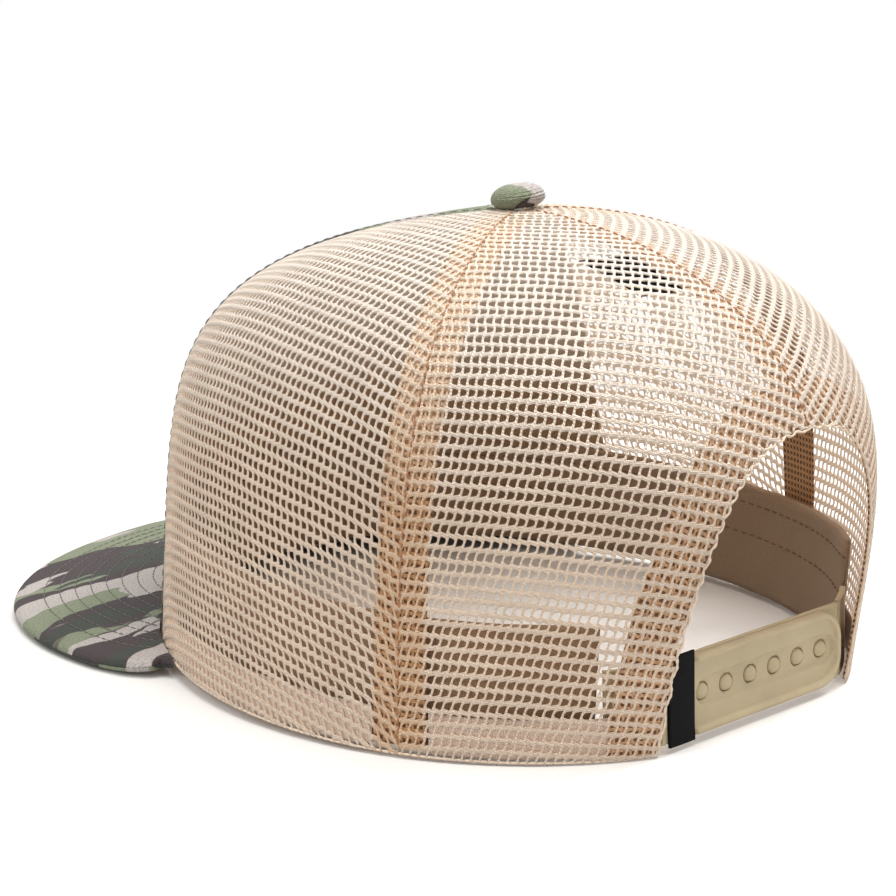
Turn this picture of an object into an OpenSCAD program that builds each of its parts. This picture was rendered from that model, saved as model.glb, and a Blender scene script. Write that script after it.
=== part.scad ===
// Five-panel mesh-back cap: cloth crown, stiff visor, covered button and a snap closure at the back.
// Millimetres. The visor points to -Y, the wearer's left is +X, and the cap rests on z = 0.

/* [Crown] */
// Length of the head opening, front to back
crown_l = 196.8; // [180:0.2:215]
// Width of the head opening
crown_w = 172.2; // [155:0.2:190]
// Height of the crown above the table
crown_h = 120; // [105:0.5:135]
// Squareness of the plan outline, 2 for an ellipse
plan_square = 2.05; // [2:0.01:2.4]
// How far the hem rises from the back corners to the front
front_lift = 7; // [0:0.5:10]
// How far the button sits behind the middle of the head opening
apex_back = 11; // [0:0.5:18]
// Squareness of the shoulder at the front
front_shoulder = 6.05; // [4:0.05:7]
// Squareness of the shoulder at the sides
side_shoulder = 4.05; // [3:0.05:6]
// Squareness of the shoulder at the back
rear_shoulder = 5.25; // [3.5:0.05:6.5]
// Roundness of the top at the front
front_fall = 1.4; // [1.2:0.02:2.2]
// Roundness of the top at the sides
side_fall = 2.04; // [1.6:0.02:2.4]
// Roundness of the top at the back
rear_fall = 1.8; // [1.5:0.02:2.4]
// Share by which the sides draw in at mid height
side_waist = 0.06; // [0:0.01:0.1]
// Share by which the back swells at mid height
rear_bulge = 0.095; // [0:0.005:0.14]

/* [Seams] */
// Front seam at the hem, degrees forward of the side
front_seam_deg = 29; // [22:0.5:40]
// Front seam at the button, degrees forward of the side
front_seam_top_deg = 46; // [35:0.5:55]
// Forward bow of the front seam at mid height, degrees
front_seam_bow = 10; // [0:0.5:14]
// Side seam, degrees behind the side
side_seam_deg = 26.5; // [18:0.5:36]
// Gap between two panels at a seam
seam_gap = 0.4; // [0.2:0.1:0.8]
// Width of the tape behind a seam
tape_w = 12; // [8:0.5:16]
// Thickness of the tapes
tape_t = 0.6; // [0.4:0.1:1]
// Height of the tape inside the hem
hem_tape_h = 11; // [8:0.5:16]
// Distance from the button's middle at which the seam tapes stop
tape_stop = 13; // [10:0.5:20]

/* [Cloth] */
// Thickness of the mesh
mesh_t = 1; // [0.6:0.1:1.4]
// Thickness of the front cloth
front_t = 0.8; // [0.5:0.1:1.2]
// Thickness of the stiff backing behind the front
backing_t = 2; // [1:0.1:3]
// Distance from a front seam to the backing's edge
backing_margin = 8; // [7:0.5:14]
// Clearance between two layers of cloth
layer_gap = 0.3; // [0.2:0.05:0.6]
// Openings across a mesh panel
net_across = 6; // [4:1:8]
// Openings from the hem to the button in a side panel
net_up = 9; // [6:1:12]
// Share of the mesh that its openings take, each way
net_open = 0.62; // [0.4:0.02:0.74]
// Least width and height of an opening
net_least = 4; // [3:0.5:8]

/* [Rear opening] */
// Width of the opening at the hem
arch_w = 72; // [64:1:84]
// Height of the opening
arch_h = 76; // [62:1:84]
// Squareness of the arch, 2 for an ellipse
arch_square = 2.6; // [2:0.1:3.2]
// Width of the folded border round the opening
binding_w = 11; // [8:0.5:15]

/* [Sweatband] */
// Height of the band
band_h = 32; // [24:1:40]
// Thickness of its cloth
band_t = 0.5; // [0.3:0.1:0.8]
// Thickness of the pad inside it
core_t = 0.7; // [0.4:0.1:1.5]
// Height of the band's lower edge above the hem
band_rise = 1.2; // [0.8:0.1:4]

/* [Visor] */
// Reach of the visor in front of the crown
visor_len = 60; // [45:1:75]
// Overall width of the visor
visor_w = 178; // [165:1:200]
// How far the widest point lies behind the front of the crown
visor_wide_back = 26; // [18:1:34]
// Squareness of the visor's outline, 2 for an ellipse
visor_square = 2.2; // [2:0.05:2.6]
// Where the visor ends at the hem, degrees forward of the side
visor_end_deg = 27; // [20:0.5:38]
// Width of the visor at its two ends
visor_end_w = 2.8; // [2.4:0.1:6]
// Height of the arch along the front edge
visor_arch = 1.5; // [0:0.1:12]
// Swelling between the crown and the edge
visor_camber = 1.2; // [0:0.1:4]
// Thickness of the board
board_t = 2; // [1.2:0.1:3]
// Thickness of the cloth covers
cover_t = 0.6; // [0.4:0.1:1]

/* [Button] */
// Diameter of the covered button
button_d = 14.2; // [11:0.1:18]
// Height of its dome
button_h = 5.6; // [4:0.1:7]
// Forward lean of the button, degrees
button_lean = 8; // [0:0.5:10]
// Diameter of the shank through the crown
shank_d = 3; // [2:0.1:4]
// Diameter of the hole left where the panels meet
apex_hole_d = 5; // [4.6:0.1:7]
// Diameter of the washer inside the crown
washer_d = 11; // [8:0.5:14]
// Thickness of the washer
washer_t = 1; // [0.6:0.1:1.6]

/* [Snap closure] */
// Width of both straps
strap_w = 20; // [17:0.5:23]
// Height of the straps' middle line above the table
strap_z = 12; // [11.5:0.5:16]
// Thickness of both straps
strap_t = 1.4; // [1:0.1:2]
// Rounding of the free ends
strap_end_r = 8; // [4:0.5:8.5]
// Width of the raised rim on the outer strap
rim_w = 1.6; // [1:0.1:2.4]
// Height of that rim
rim_h = 0.7; // [0.4:0.1:1]
// Width of the sunk channel round the holes
channel_w = 8; // [7:0.5:11]
// Depth of that channel
channel_deep = 0.4; // [0.2:0.1:0.6]
// Number of pegs, and of holes
snap_count = 6; // [4:1:7]
// Distance from peg to peg
snap_pitch = 8.8; // [8:0.1:9.4]
// Diameter of a peg
peg_d = 4; // [3.4:0.1:4.6]
// Clearance round a peg in its hole
peg_play = 0.4; // [0.3:0.05:0.6]
// How far a peg stands out of its hole
peg_proud = 0.3; // [0:0.1:0.8]
// Clearance between the two straps
lap_gap = 0.3; // [0.2:0.05:0.6]
// Distance from the opening's edge to the line where a strap bends
hinge_inset = 3; // [2.8:0.1:5]
// Length of the strap's root behind the mesh
root_len = 13; // [9:0.5:16]
// Strap beyond the last hole
strap_tip = 6.2; // [5:0.1:9]

/* [Labels] */
// Width of the bare label at the strap's root
label_w = 9; // [6:0.5:9.5]
// Height of that label
label_h = 22.5; // [18:0.5:23]
// Thickness of the labels
label_t = 0.5; // [0.3:0.1:0.8]
// Width of the bare label inside the top
inner_label_w = 18; // [12:0.5:24]
// Length of that label
inner_label_l = 17; // [12:0.5:22]
// How far its lower edge lies below the crown's top
inner_label_drop = 12; // [8:0.5:25]

/* [Hidden] */
$fn = 48;

mesh_color = [0.90, 0.80, 0.70];
camo_color = [0.50, 0.53, 0.42];
brown_color = [0.45, 0.36, 0.27];
khaki_color = [0.77, 0.70, 0.55];
black_color = [0.08, 0.08, 0.09];
board_color = [0.85, 0.84, 0.80];
metal_color = [0.70, 0.70, 0.70];

// Depths of the layers below the outer face of the crown
tape_in = mesh_t + layer_gap;
root_in = tape_in + tape_t + layer_gap;
backing_in = front_t + layer_gap;
band_in = max(root_in + strap_t, backing_in + backing_t) + layer_gap;

// Facets: rows from hem to button, columns across a panel
panel_rows = 22;
arch_rows = 10;
upper_rows = 14;
panel_cols = 9;
front_cols = 14;
band_cols = 35;
visor_cols = 26;
arch_cols = 36;

function lerp(a, b, f) = a + (b - a) * f;

// Value at plan angle p, blended from its front, side and rear values
function around(p, front, side, rear) =
    let (s = sin(p), f = pow(max(-s, 0), 2), r = pow(max(s, 0), 2))
    front * f + rear * r + side * (1 - f - r);

// Height of the hem at plan angle p
function hem_z(p) = front_lift * pow((1 - sin(p)) / 2, 2);

// Reach of a superellipse of the given squareness in the direction p
function plan(p, n) = pow(pow(abs(cos(p)), n) + pow(abs(sin(p)), n), -1 / n);

function shoulder(p) = around(p, front_shoulder, side_shoulder, rear_shoulder);

function fall(p) = around(p, front_fall, side_fall, rear_fall);

// Outline of the head opening at plan angle p
function hem_plan(p) =
    plan(p, plan_square) * [crown_w / 2 * cos(p), crown_l / 2 * sin(p)];

// Outer face of the crown at plan angle p; z runs from 0 at the hem to 1 under the button
function crown(p, z) =
    let (full = around(p, 0, -side_waist, rear_bulge),
         r = pow(max(1 - pow(z, shoulder(p)), 0), 1 / fall(p)) * (1 + full * sin(180 * z)),
         q = hem_plan(p) * r,
         h = hem_z(p))
    [q[0], q[1] + apex_back * z * z, h + (crown_h - h) * z];

// Share of the height for an even step t from the hem to the button, and back
function rise(t) = 1 - pow(1 - t, 2);

function step_of(z) = 1 - sqrt(1 - z);

function height_step(h) = step_of(h / crown_h);

// Step at which the crown has closed in to the radius r round the button
function button_step(p, r) =
    1 - sqrt(pow(r / norm(hem_plan(p)), fall(p)) / shoulder(p));

// Outward direction of the crown
function outward(p, t) =
    let (a = crown(p + 0.5, rise(t)) - crown(p - 0.5, rise(t)),
         b = crown(p, rise(min(t + 0.004, 1))) - crown(p, rise(max(t - 0.004, 0))),
         n = cross(a, b))
    n / norm(n);

// Point at a depth below the outer face
function inside(p, t, depth) = crown(p, rise(t)) - depth * outward(p, t);

// Plan angle that a width w takes up at p, t
function spread(p, t, w) = w / norm(crown(p + 0.5, rise(t)) - crown(p - 0.5, rise(t)));

// Plan angle on the left rear where the crown, or a layer below it, is x from the middle
function rear_angle(x, z, depth = 0, lo = 0, hi = 90, n = 20) =
    let (m = (lo + hi) / 2,
         reach = depth == 0 ? crown(m, z)[0] : inside(m, step_of(z), depth)[0])
    n == 0 ? m
    : reach > x ? rear_angle(x, z, depth, m, hi, n - 1)
    : rear_angle(x, z, depth, lo, m, n - 1);

// The same on both sides of the middle
function back_angle(x, z) = x < 0 ? 180 - rear_angle(-x, z) : rear_angle(x, z);

function front_seam(t) =
    -lerp(front_seam_deg, front_seam_top_deg, rise(t)) - front_seam_bow * sin(180 * rise(t));

// Half width and height of the arch grown by d, at the angle a round it
function arch_x(a, d) = sign(cos(a)) * (arch_w / 2 + d) * pow(abs(cos(a)), 2 / arch_square);

function arch_z(a, d) = (arch_h + d) * pow(abs(sin(a)), 2 / arch_square);

// Where line k of n lies across a grid: evenly, or with a bar beside every opening
even_share = function (k, n) k / n;
bar_share = function (k, n)
    let (gap = net_open / (1 - net_open), all = ceil(n / 2) + floor(n / 2) * gap)
    (ceil(k / 2) + floor(k / 2) * gap) / all;

// Grid of points at one depth; edges(f) gives a row's two angles and steps(f, p) its steps
function grid(rows, cols, edges, steps, depth, up = even_share, across = even_share) =
    [for (i = [0:rows])
        let (f = up(i, rows), e = edges(f))
        [for (j = [0:cols])
            let (p = lerp(e[0], e[1], across(j, cols)))
            inside(p, steps(f, p), depth)]];

// Closed solid between an outer and an inner grid of points, open through the cells where open(i, j)
module slab(outer, inner, open = function (i, j) false) {
    m = len(outer);
    n = len(outer[0]);
    k = m * n;
    cells = [for (i = [0:m - 2], j = [0:n - 2]) if (!open(i, j)) i * n + j];
    gaps = [for (i = [0:m - 2], j = [0:n - 2]) if (open(i, j)) i * n + j];
    quads = concat(
        [for (a = cells) [a, a + n, a + n + 1, a + 1]],
        [for (c = cells) let (a = k + c) [a, a + 1, a + n + 1, a + n]],
        [for (a = gaps) each [
            [a, k + a, k + a + 1, a + 1],
            [a + n, a + n + 1, k + a + n + 1, k + a + n],
            [a, a + n, k + a + n, k + a],
            [a + 1, k + a + 1, k + a + n + 1, a + n + 1]
        ]],
        [for (j = [0:n - 2]) [j, j + 1, k + j + 1, k + j]],
        [for (j = [0:n - 2]) let (a = k - n + j) [a, k + a, k + a + 1, a + 1]],
        [for (i = [0:m - 2]) let (a = i * n) [a, k + a, k + a + n, a + n]],
        [for (i = [0:m - 2]) let (a = i * n + n - 1) [a, a + n, k + a + n, k + a]]
    );
    polyhedron(
        points = [for (g = [outer, inner], row = g) each row],
        faces = [for (q = quads) each [[q[0], q[1], q[2]], [q[0], q[2], q[3]]]],
        convexity = 10
    );
}

// One layer of cloth on the crown
module layer(rows, cols, edges, steps, depth, thick) {
    slab(grid(rows, cols, edges, steps, depth), grid(rows, cols, edges, steps, depth + thick));
}

// The mesh: a layer with an opening in every second cell that is wide and tall enough
module net(rows, edges, steps, up) {
    cols = 2 * net_across + 1;
    outer = grid(rows, cols, edges, steps, 0, up, bar_share);
    open = function (i, j)
        i % 2 == 1 && j % 2 == 1 && i < rows - 1
        && net_least <= min(
            norm(outer[i][j + 1] - outer[i][j]), norm(outer[i + 1][j + 1] - outer[i + 1][j]),
            norm(outer[i + 1][j] - outer[i][j]), norm(outer[i + 1][j + 1] - outer[i][j + 1]));
    slab(outer, grid(rows, cols, edges, steps, mesh_t, up, bar_share), open);
}

// Steps of a full panel, from the hem to the hole under the button
panel_steps = function (f, p) f * button_step(p, apex_hole_d / 2);

// Angle of a panel's edge, half a seam gap to one side of a seam
function seam_edge(p, t, side) = p + side * spread(p, t, seam_gap / 2);

module mirrored() {
    mirror([1, 0, 0]) children();
}

module front_panel() {
    edges = function (f)
        let (t = panel_steps(f, front_seam(f)), s = front_seam(t), e = seam_edge(s, t, -1))
        [-180 - e, e];
    color(camo_color) layer(panel_rows, front_cols, edges, panel_steps, 0, front_t);
}

module front_backing() {
    low = height_step(layer_gap);
    edges = function (f)
        let (t = lerp(low, button_step(-90, tape_stop), f), s = front_seam(t),
             e = s - spread(s, t, backing_margin))
        [-180 - e, e];
    steps = function (f, p) lerp(low, button_step(p, tape_stop), f);
    color(brown_color) layer(panel_rows, front_cols - 2, edges, steps, backing_in, backing_t);
}

module side_panel() {
    edges = function (f)
        let (t = panel_steps(f, front_seam(f)))
        [seam_edge(front_seam(t), t, 1), seam_edge(side_seam_deg, t, -1)];
    color(mesh_color) net(2 * net_up + 1, edges, panel_steps, bar_share);
}

module left_side_panel() {
    side_panel();
}

module right_side_panel() {
    mirrored() side_panel();
}

// Rows below the top of the arch follow its edge; the rest run to the centre seam
function rear_step(i, p) =
    i <= arch_rows
    ? height_step(arch_z(90 * i / arch_rows, 0))
    : lerp(height_step(arch_h), button_step(p, apex_hole_d / 2), (i - arch_rows) / upper_rows);

module rear_panel() {
    rows = arch_rows + upper_rows;
    edges = function (f)
        let (i = round(f * rows), t = rear_step(i, 90), c = seam_edge(90, t, -1),
             e = i < arch_rows ? rear_angle(arch_x(90 * i / arch_rows, 0), rise(t)) : c)
        [seam_edge(side_seam_deg, t, 1), min(e, c)];
    steps = function (f, p) rear_step(round(f * rows), p);
    color(mesh_color) net(rows, edges, steps, even_share);
}

module left_rear_panel() {
    rear_panel();
}

module right_rear_panel() {
    mirrored() rear_panel();
}

// Tape that straddles a seam; path(t) is the seam's angle
module seam_tape(path, low) {
    high = button_step(path(1), tape_stop);
    edges = function (f)
        let (t = lerp(low, high, f), p = path(t), w = spread(p, t, tape_w / 2))
        [p - w, p + w];
    steps = function (f, p) lerp(low, high, f);
    color(brown_color) layer(panel_rows, 2, edges, steps, tape_in, tape_t);
}

tape_low = height_step(band_rise);

module front_left_seam_tape() {
    seam_tape(function (t) front_seam(t), tape_low);
}

module front_right_seam_tape() {
    mirrored() seam_tape(function (t) front_seam(t), tape_low);
}

module side_left_seam_tape() {
    seam_tape(function (t) side_seam_deg, tape_low);
}

module side_right_seam_tape() {
    mirrored() seam_tape(function (t) side_seam_deg, tape_low);
}

module rear_center_seam_tape() {
    seam_tape(function (t) 90, height_step(arch_h + binding_w + 2 * layer_gap));
}

// Tape inside the hem, between the tapes of two seams
module hem_tape(from, to) {
    steps = function (f, p) lerp(tape_low, height_step(hem_tape_h), f);
    edges = function (f)
        [from + spread(from, tape_low, 2 * layer_gap), to - spread(to, tape_low, 2 * layer_gap)];
    color(mesh_color) layer(2, panel_cols, edges, steps, tape_in, tape_t);
}

function tape_edge(p, side) = p + side * spread(p, tape_low, tape_w / 2);

module side_hem_tape() {
    hem_tape(tape_edge(front_seam(0), 1), tape_edge(side_seam_deg, -1));
}

module rear_hem_tape() {
    hem_tape(tape_edge(side_seam_deg, 1), rear_angle(arch_w / 2 + binding_w, rise(tape_low)));
}

module left_side_hem_tape() {
    side_hem_tape();
}

module right_side_hem_tape() {
    mirrored() side_hem_tape();
}

module left_rear_hem_tape() {
    rear_hem_tape();
}

module right_rear_hem_tape() {
    mirrored() rear_hem_tape();
}

// Folded border that follows the arch inside the mesh
module arch_binding() {
    rings = [0, 0.5, 1];
    face = function (depth)
        [for (r = rings) [for (j = [0:arch_cols])
            let (a = 180 * j / arch_cols, d = r * binding_w, z = arch_z(a, d) / crown_h)
            inside(back_angle(arch_x(a, d), z), step_of(z), depth)]];
    color(mesh_color) slab(face(tape_in), face(tape_in + tape_t));
}

// Sleeve of the sweatband: two walls joined by a round fold at the top
sleeve_t = 2 * band_t + core_t + 2 * layer_gap;
sleeve_mid = band_in + sleeve_t / 2;
fold_h = band_h - sleeve_t / 2;

// Depth and height round the fold, for the sleeve's outer or inner radius
function sleeve(r) = concat(
    [[sleeve_mid - r, band_rise], [sleeve_mid - r, lerp(band_rise, fold_h, 0.5)]],
    [for (a = [0:45:180]) [sleeve_mid - r * cos(a), fold_h + r * sin(a)]],
    [[sleeve_mid + r, lerp(band_rise, fold_h, 0.5)], [sleeve_mid + r, band_rise]]
);

// Sweep of depth and height stations along the hem, from one strap root to the other
function hem_sweep(stations, first, last) =
    [for (s = stations) [for (j = [0:band_cols])
        inside(lerp(first, last, j / band_cols), height_step(s[1]), s[0])]];

module sweatband() {
    color(brown_color)
        slab(hem_sweep(sleeve(sleeve_t / 2), -180 - band_end, band_end),
             hem_sweep(sleeve(sleeve_t / 2 - band_t), -180 - band_end, band_end));
}

module sweatband_core() {
    face = function (depth)
        hem_sweep([[depth, band_rise], [depth, lerp(band_rise, fold_h, 0.5)], [depth, fold_h]],
                  -180 - band_end, band_end);
    color(board_color) slab(face(sleeve_mid - core_t / 2), face(sleeve_mid + core_t / 2));
}

// Visor. Stations run across it: w is 0 in the middle and 1 at an end
visor_t = board_t + 2 * cover_t + layer_gap;
wide_share = 0.62;
wide_y = -crown_l / 2 + visor_wide_back;

function visor_angle(w) = -90 + w * (90 - visor_end_deg);

function visor_root(w) = inside(visor_angle(w), 0, -layer_gap);

visor_tip = let (p = visor_angle(1)) inside(p, 0, -layer_gap - visor_end_w);

// Outer edge: a superellipse in front of the widest point and a quarter ellipse behind it
function visor_edge(w) =
    w < wide_share
    ? let (a = 90 * (1 - w / wide_share))
        [visor_w / 2 * pow(cos(a), 2 / visor_square),
         wide_y - (visor_len + visor_wide_back) * pow(sin(a), 2 / visor_square)]
    : let (a = 90 * (w - wide_share) / (1 - wide_share))
        [lerp(visor_tip[0], visor_w / 2, cos(a)), lerp(wide_y, visor_tip[1], sin(a))];

// Height of the visor's middle plane along its edge
function visor_edge_z(w) =
    visor_t / 2 + (w < wide_share
        ? visor_arch * pow(1 - w / wide_share, 2)
        : max(visor_root(1)[2] - visor_t / 2, 0) * pow((w - wide_share) / (1 - wide_share), 2));

// Point at share v of the way out plus a run in millimetres, and h above the middle plane
function visor_point(u, v, run, h) =
    let (w = abs(u), side = u < 0 ? -1 : 1,
         a = visor_root(w), b = visor_edge(w),
         reach = norm(b - [a[0], a[1]]),
         s = (v * (reach - visor_t / 2) + run) / reach,
         root_z = max(a[2], visor_t / 2),
         z = lerp(root_z, visor_edge_z(w), s) + visor_camber * 4 * s * (1 - s) * min(reach / visor_len, 1))
    [side * lerp(a[0], b[0], s), lerp(a[1], b[1], s), z + h];

// Sheet of the visor: flat stations out to the edge, then a quarter round of radius r
function visor_sheet(r, up, lip) =
    let (flat = [for (v = [0:0.2:1]) [v, 0, r]],
         round_off = [for (a = [30, 60, 88]) [1, r * sin(a), r * cos(a)]])
    [for (s = lip ? concat(flat, round_off) : flat)
        [for (j = [0:visor_cols])
            visor_point(up * (1 - 2 * j / visor_cols), s[0], s[1], up * s[2])]];

module visor_top_cover() {
    color(camo_color)
        slab(visor_sheet(visor_t / 2, 1, true), visor_sheet(visor_t / 2 - cover_t, 1, true));
}

module visor_under_cover() {
    color(camo_color)
        slab(visor_sheet(visor_t / 2, -1, true), visor_sheet(visor_t / 2 - cover_t, -1, true));
}

module visor_board() {
    top = visor_sheet(board_t / 2, 1, false);
    under = [for (row = top) [for (q = row) q - [0, 0, board_t]]];
    color(board_color) slab(top, under);
}

// Button. Its dome is half a superellipse turned round the shank; its foot clears the sloping crown
foot_share = 0.86;
button_foot = foot_share * button_d / 2;
button_drop = crown_h * pow(button_foot / (crown_l / 2), front_fall) / front_shoulder;
button_seat = layer_gap + button_foot * sin(button_lean) - button_drop;
shell_t = 0.5;

function dome(r, h, low) = concat(
    [[0, low], [r * foot_share, low]],
    [for (a = [0:10:90]) [r * pow(cos(a), 0.8), low + (h - low) * (0.28 + 0.72 * sin(a))]]
);

module at_button() {
    translate([0, apex_back, crown_h]) children();
}

module button_head() {
    at_button() translate([0, 0, button_seat]) rotate([button_lean, 0, 0]) children();
}

module button_cover() {
    color(camo_color) button_head() difference() {
        rotate_extrude() polygon(dome(button_d / 2, button_h, 0));
        translate([0, 0, -shell_t])
            rotate_extrude() polygon(dome(button_d / 2 - shell_t, button_h, 0));
    }
}

module button_core() {
    color(metal_color) union() {
        button_head() translate([0, 0, 0.01])
            rotate_extrude() polygon(dome(button_d / 2 - 2 * shell_t, button_h - 2.2 * shell_t, 0));
        at_button() translate([0, 0, -root_in - washer_t])
            cylinder(d = shank_d, h = root_in + washer_t + button_seat + button_h / 2);
    }
}

module button_back() {
    color(metal_color) at_button() translate([0, 0, -root_in - washer_t]) difference() {
        cylinder(d = washer_d, h = washer_t);
        translate([0, 0, -1]) cylinder(d = shank_d + layer_gap, h = washer_t + 2);
    }
}

// Snap closure. Both straps bend at a line just inside the opening and lap in the middle
hinge_x = arch_w / 2 - hinge_inset;
strap_low = (strap_z - strap_w / 2) / crown_h;
hinge_p = rear_angle(hinge_x, strap_low, root_in + strap_t / 2);
hinge_y = inside(hinge_p, step_of(strap_low), root_in + strap_t / 2)[1];
root_start = rear_angle(hinge_x + strap_t / 2 + 2 * layer_gap, strap_low, root_in + strap_t);
root_end = root_start - spread(root_start, step_of(strap_low), root_len);
band_end = root_end - spread(root_end, step_of(strap_low), 2);
lap = strap_t + lap_gap;
strap_skew = asin(lap / (2 * hinge_x));
hinge_span = 2 * hinge_x * cos(strap_skew);
hole_r = peg_d / 2 + peg_play;
label_from = 1;
first_snap = label_from + label_w + rim_w + hole_r;
outer_len = first_snap + (snap_count - 1) * snap_pitch + strap_tip;
inner_len = hinge_span - first_snap + strap_tip;

function snap_at(i) = first_snap + i * snap_pitch;

module at_left_hinge() {
    translate([hinge_x, hinge_y, strap_z]) rotate([0, 0, -strap_skew]) children();
}

module at_right_hinge() {
    translate([-hinge_x, hinge_y, strap_z]) rotate([0, 0, -strap_skew]) children();
}

// Flat outline stood upright, from y0 over a thickness t
module upright(y0, t) {
    translate([0, y0 + t, 0]) rotate([90, 0, 0]) linear_extrude(t) children();
}

// Strap outline from x = from to x = l, with two rounded corners at the far end
module tongue(from, l, w, r) {
    translate([from, -w / 2]) square([l - r - from, w]);
    translate([l - r - 0.01, r - w / 2]) square([r + 0.01, w - 2 * r]);
    for (s = [-1, 1])
        translate([l - r, s * (w / 2 - r)]) circle(r);
}

// Row of round places for pegs or holes, along the strap
module snaps(first, step) {
    for (i = [0:snap_count - 1])
        translate([first + i * step, 0, 0]) rotate([-90, 0, 0]) children();
}

module strap_plate(l) {
    upright(-strap_t / 2, strap_t) tongue(0, l, strap_w, strap_end_r);
    translate([0, 0, -strap_w / 2]) cylinder(d = strap_t, h = strap_w);
}

module outer_strap() {
    rim_from = label_from + label_w + layer_gap;
    channel_from = first_snap - hole_r;
    channel_to = outer_len - rim_w - layer_gap;
    color(khaki_color) at_left_hinge() mirror([1, 0, 0]) difference() {
        union() {
            strap_plate(outer_len);
            upright(strap_t / 2 - 0.01, rim_h + 0.01) difference() {
                tongue(rim_from, outer_len, strap_w, strap_end_r);
                tongue(rim_from - 1, outer_len - rim_w, strap_w - 2 * rim_w, strap_end_r - rim_w);
            }
        }
        upright(strap_t / 2 - channel_deep, channel_deep + rim_h)
            tongue(channel_from, channel_to, channel_w, channel_w / 2 - 0.2);
        translate([0, -strap_t, 0])
            snaps(first_snap, snap_pitch) cylinder(r = hole_r, h = 3 * strap_t + rim_h);
    }
}

module peg() {
    body = lap_gap + strap_t - channel_deep;
    crest = peg_d * 0.3;
    cylinder(d = peg_d, h = body + peg_proud - crest / 2);
    translate([0, 0, body + peg_proud - crest / 2 - 0.01])
        rotate_extrude() polygon(concat([[0, 0]],
            [for (a = [0:15:90]) [peg_d / 2 * cos(a), crest / 2 * sin(a) + 0.01]]));
}

module inner_strap() {
    color(khaki_color) at_right_hinge() {
        strap_plate(inner_len);
        translate([0, strap_t / 2 - 0.01, 0])
            snaps(hinge_span - first_snap, -snap_pitch) peg();
    }
}

// Root of a strap, sewn behind the mesh at the corner of the opening
module strap_root() {
    n = 8;
    t = step_of(strap_low);
    face = function (depth)
        [for (i = [0:n])
            let (q = inside(lerp(root_start, root_end, i / n), t, depth)) [q[0], q[1]]];
    near = face(root_in);
    far = face(root_in + strap_t);
    color(khaki_color) translate([0, 0, strap_z - strap_w / 2]) linear_extrude(strap_w)
        polygon(concat(near, [for (i = [n:-1:0]) far[i]]));
}

module left_strap_root() {
    strap_root();
}

module right_strap_root() {
    mirrored() strap_root();
}

// Bare label that covers the start of the outer strap
module strap_label() {
    color(black_color) at_left_hinge()
        translate([-label_from - label_w, strap_t / 2 + layer_gap / 3, -label_h / 2 + 0.5])
            cube([label_w, label_t, label_h]);
}

// Bare label inside the top, sewn to the tape of the centre seam
module inner_label() {
    low = height_step(crown_h - inner_label_drop);
    slope = norm(crown(90, rise(low + 0.01)) - crown(90, rise(low))) / 0.01;
    high = low + inner_label_l / slope;
    overlap = 1;
    edges = function (f)
        let (z = rise(lerp(low, high, f)))
        [back_angle(inner_label_w - overlap, z), back_angle(-overlap, z)];
    steps = function (f, p) lerp(low, high, f);
    color(black_color) layer(4, 4, edges, steps, root_in, label_t);
}

front_panel();
front_backing();
left_side_panel();
right_side_panel();
left_rear_panel();
right_rear_panel();
front_left_seam_tape();
front_right_seam_tape();
side_left_seam_tape();
side_right_seam_tape();
rear_center_seam_tape();
left_side_hem_tape();
right_side_hem_tape();
left_rear_hem_tape();
right_rear_hem_tape();
arch_binding();
sweatband();
sweatband_core();
visor_board();
visor_top_cover();
visor_under_cover();
button_cover();
button_core();
button_back();
left_strap_root();
right_strap_root();
outer_strap();
inner_strap();
strap_label();
inner_label();
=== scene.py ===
"""Looks of a five-panel mesh-back cap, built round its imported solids.

Shapes are worked out in millimetres and put into Blender in metres. The visor points to -Y, the wearer's
left is +X and the cap rests on z = 0.
"""
import logging
import math
from dataclasses import dataclass, field
from enum import Enum
from typing import Callable, Optional, Sequence, Tuple

import bmesh
import bpy
import numpy as np
from mathutils import Matrix, Vector


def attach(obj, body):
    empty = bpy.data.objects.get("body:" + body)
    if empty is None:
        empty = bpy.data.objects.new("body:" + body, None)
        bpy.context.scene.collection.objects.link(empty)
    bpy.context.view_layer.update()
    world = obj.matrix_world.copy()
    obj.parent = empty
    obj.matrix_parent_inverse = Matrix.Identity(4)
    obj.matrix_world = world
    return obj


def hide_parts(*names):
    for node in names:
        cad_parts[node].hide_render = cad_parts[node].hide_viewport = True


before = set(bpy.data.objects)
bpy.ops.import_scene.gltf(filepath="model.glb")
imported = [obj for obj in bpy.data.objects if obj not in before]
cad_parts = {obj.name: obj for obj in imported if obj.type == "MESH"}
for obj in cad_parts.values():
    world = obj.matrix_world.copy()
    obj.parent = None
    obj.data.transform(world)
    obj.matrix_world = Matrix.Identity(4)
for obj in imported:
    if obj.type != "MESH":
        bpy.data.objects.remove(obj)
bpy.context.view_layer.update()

LOG = logging.getLogger("cap")
MM = 0.001
Array = np.ndarray
Curve = Callable[[Array], Array]
Colour = Tuple[float, float, float, float]
Socket = bpy.types.NodeSocket
Node = bpy.types.Node
Piece = bpy.types.Object
WHITE: Colour = (1.0, 1.0, 1.0, 1.0)
BLACK: Colour = (0.0, 0.0, 0.0, 1.0)


class Body(Enum):
    """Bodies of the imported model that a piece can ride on."""

    CROWN = "crown"
    HOLES = "holes_strap"
    PEGS = "pegs_strap"


class Edge(Enum):
    """The two seams of a gore, as the share of its half width."""

    FIRST = -1.0
    LAST = 1.0


# Meshes


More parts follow.
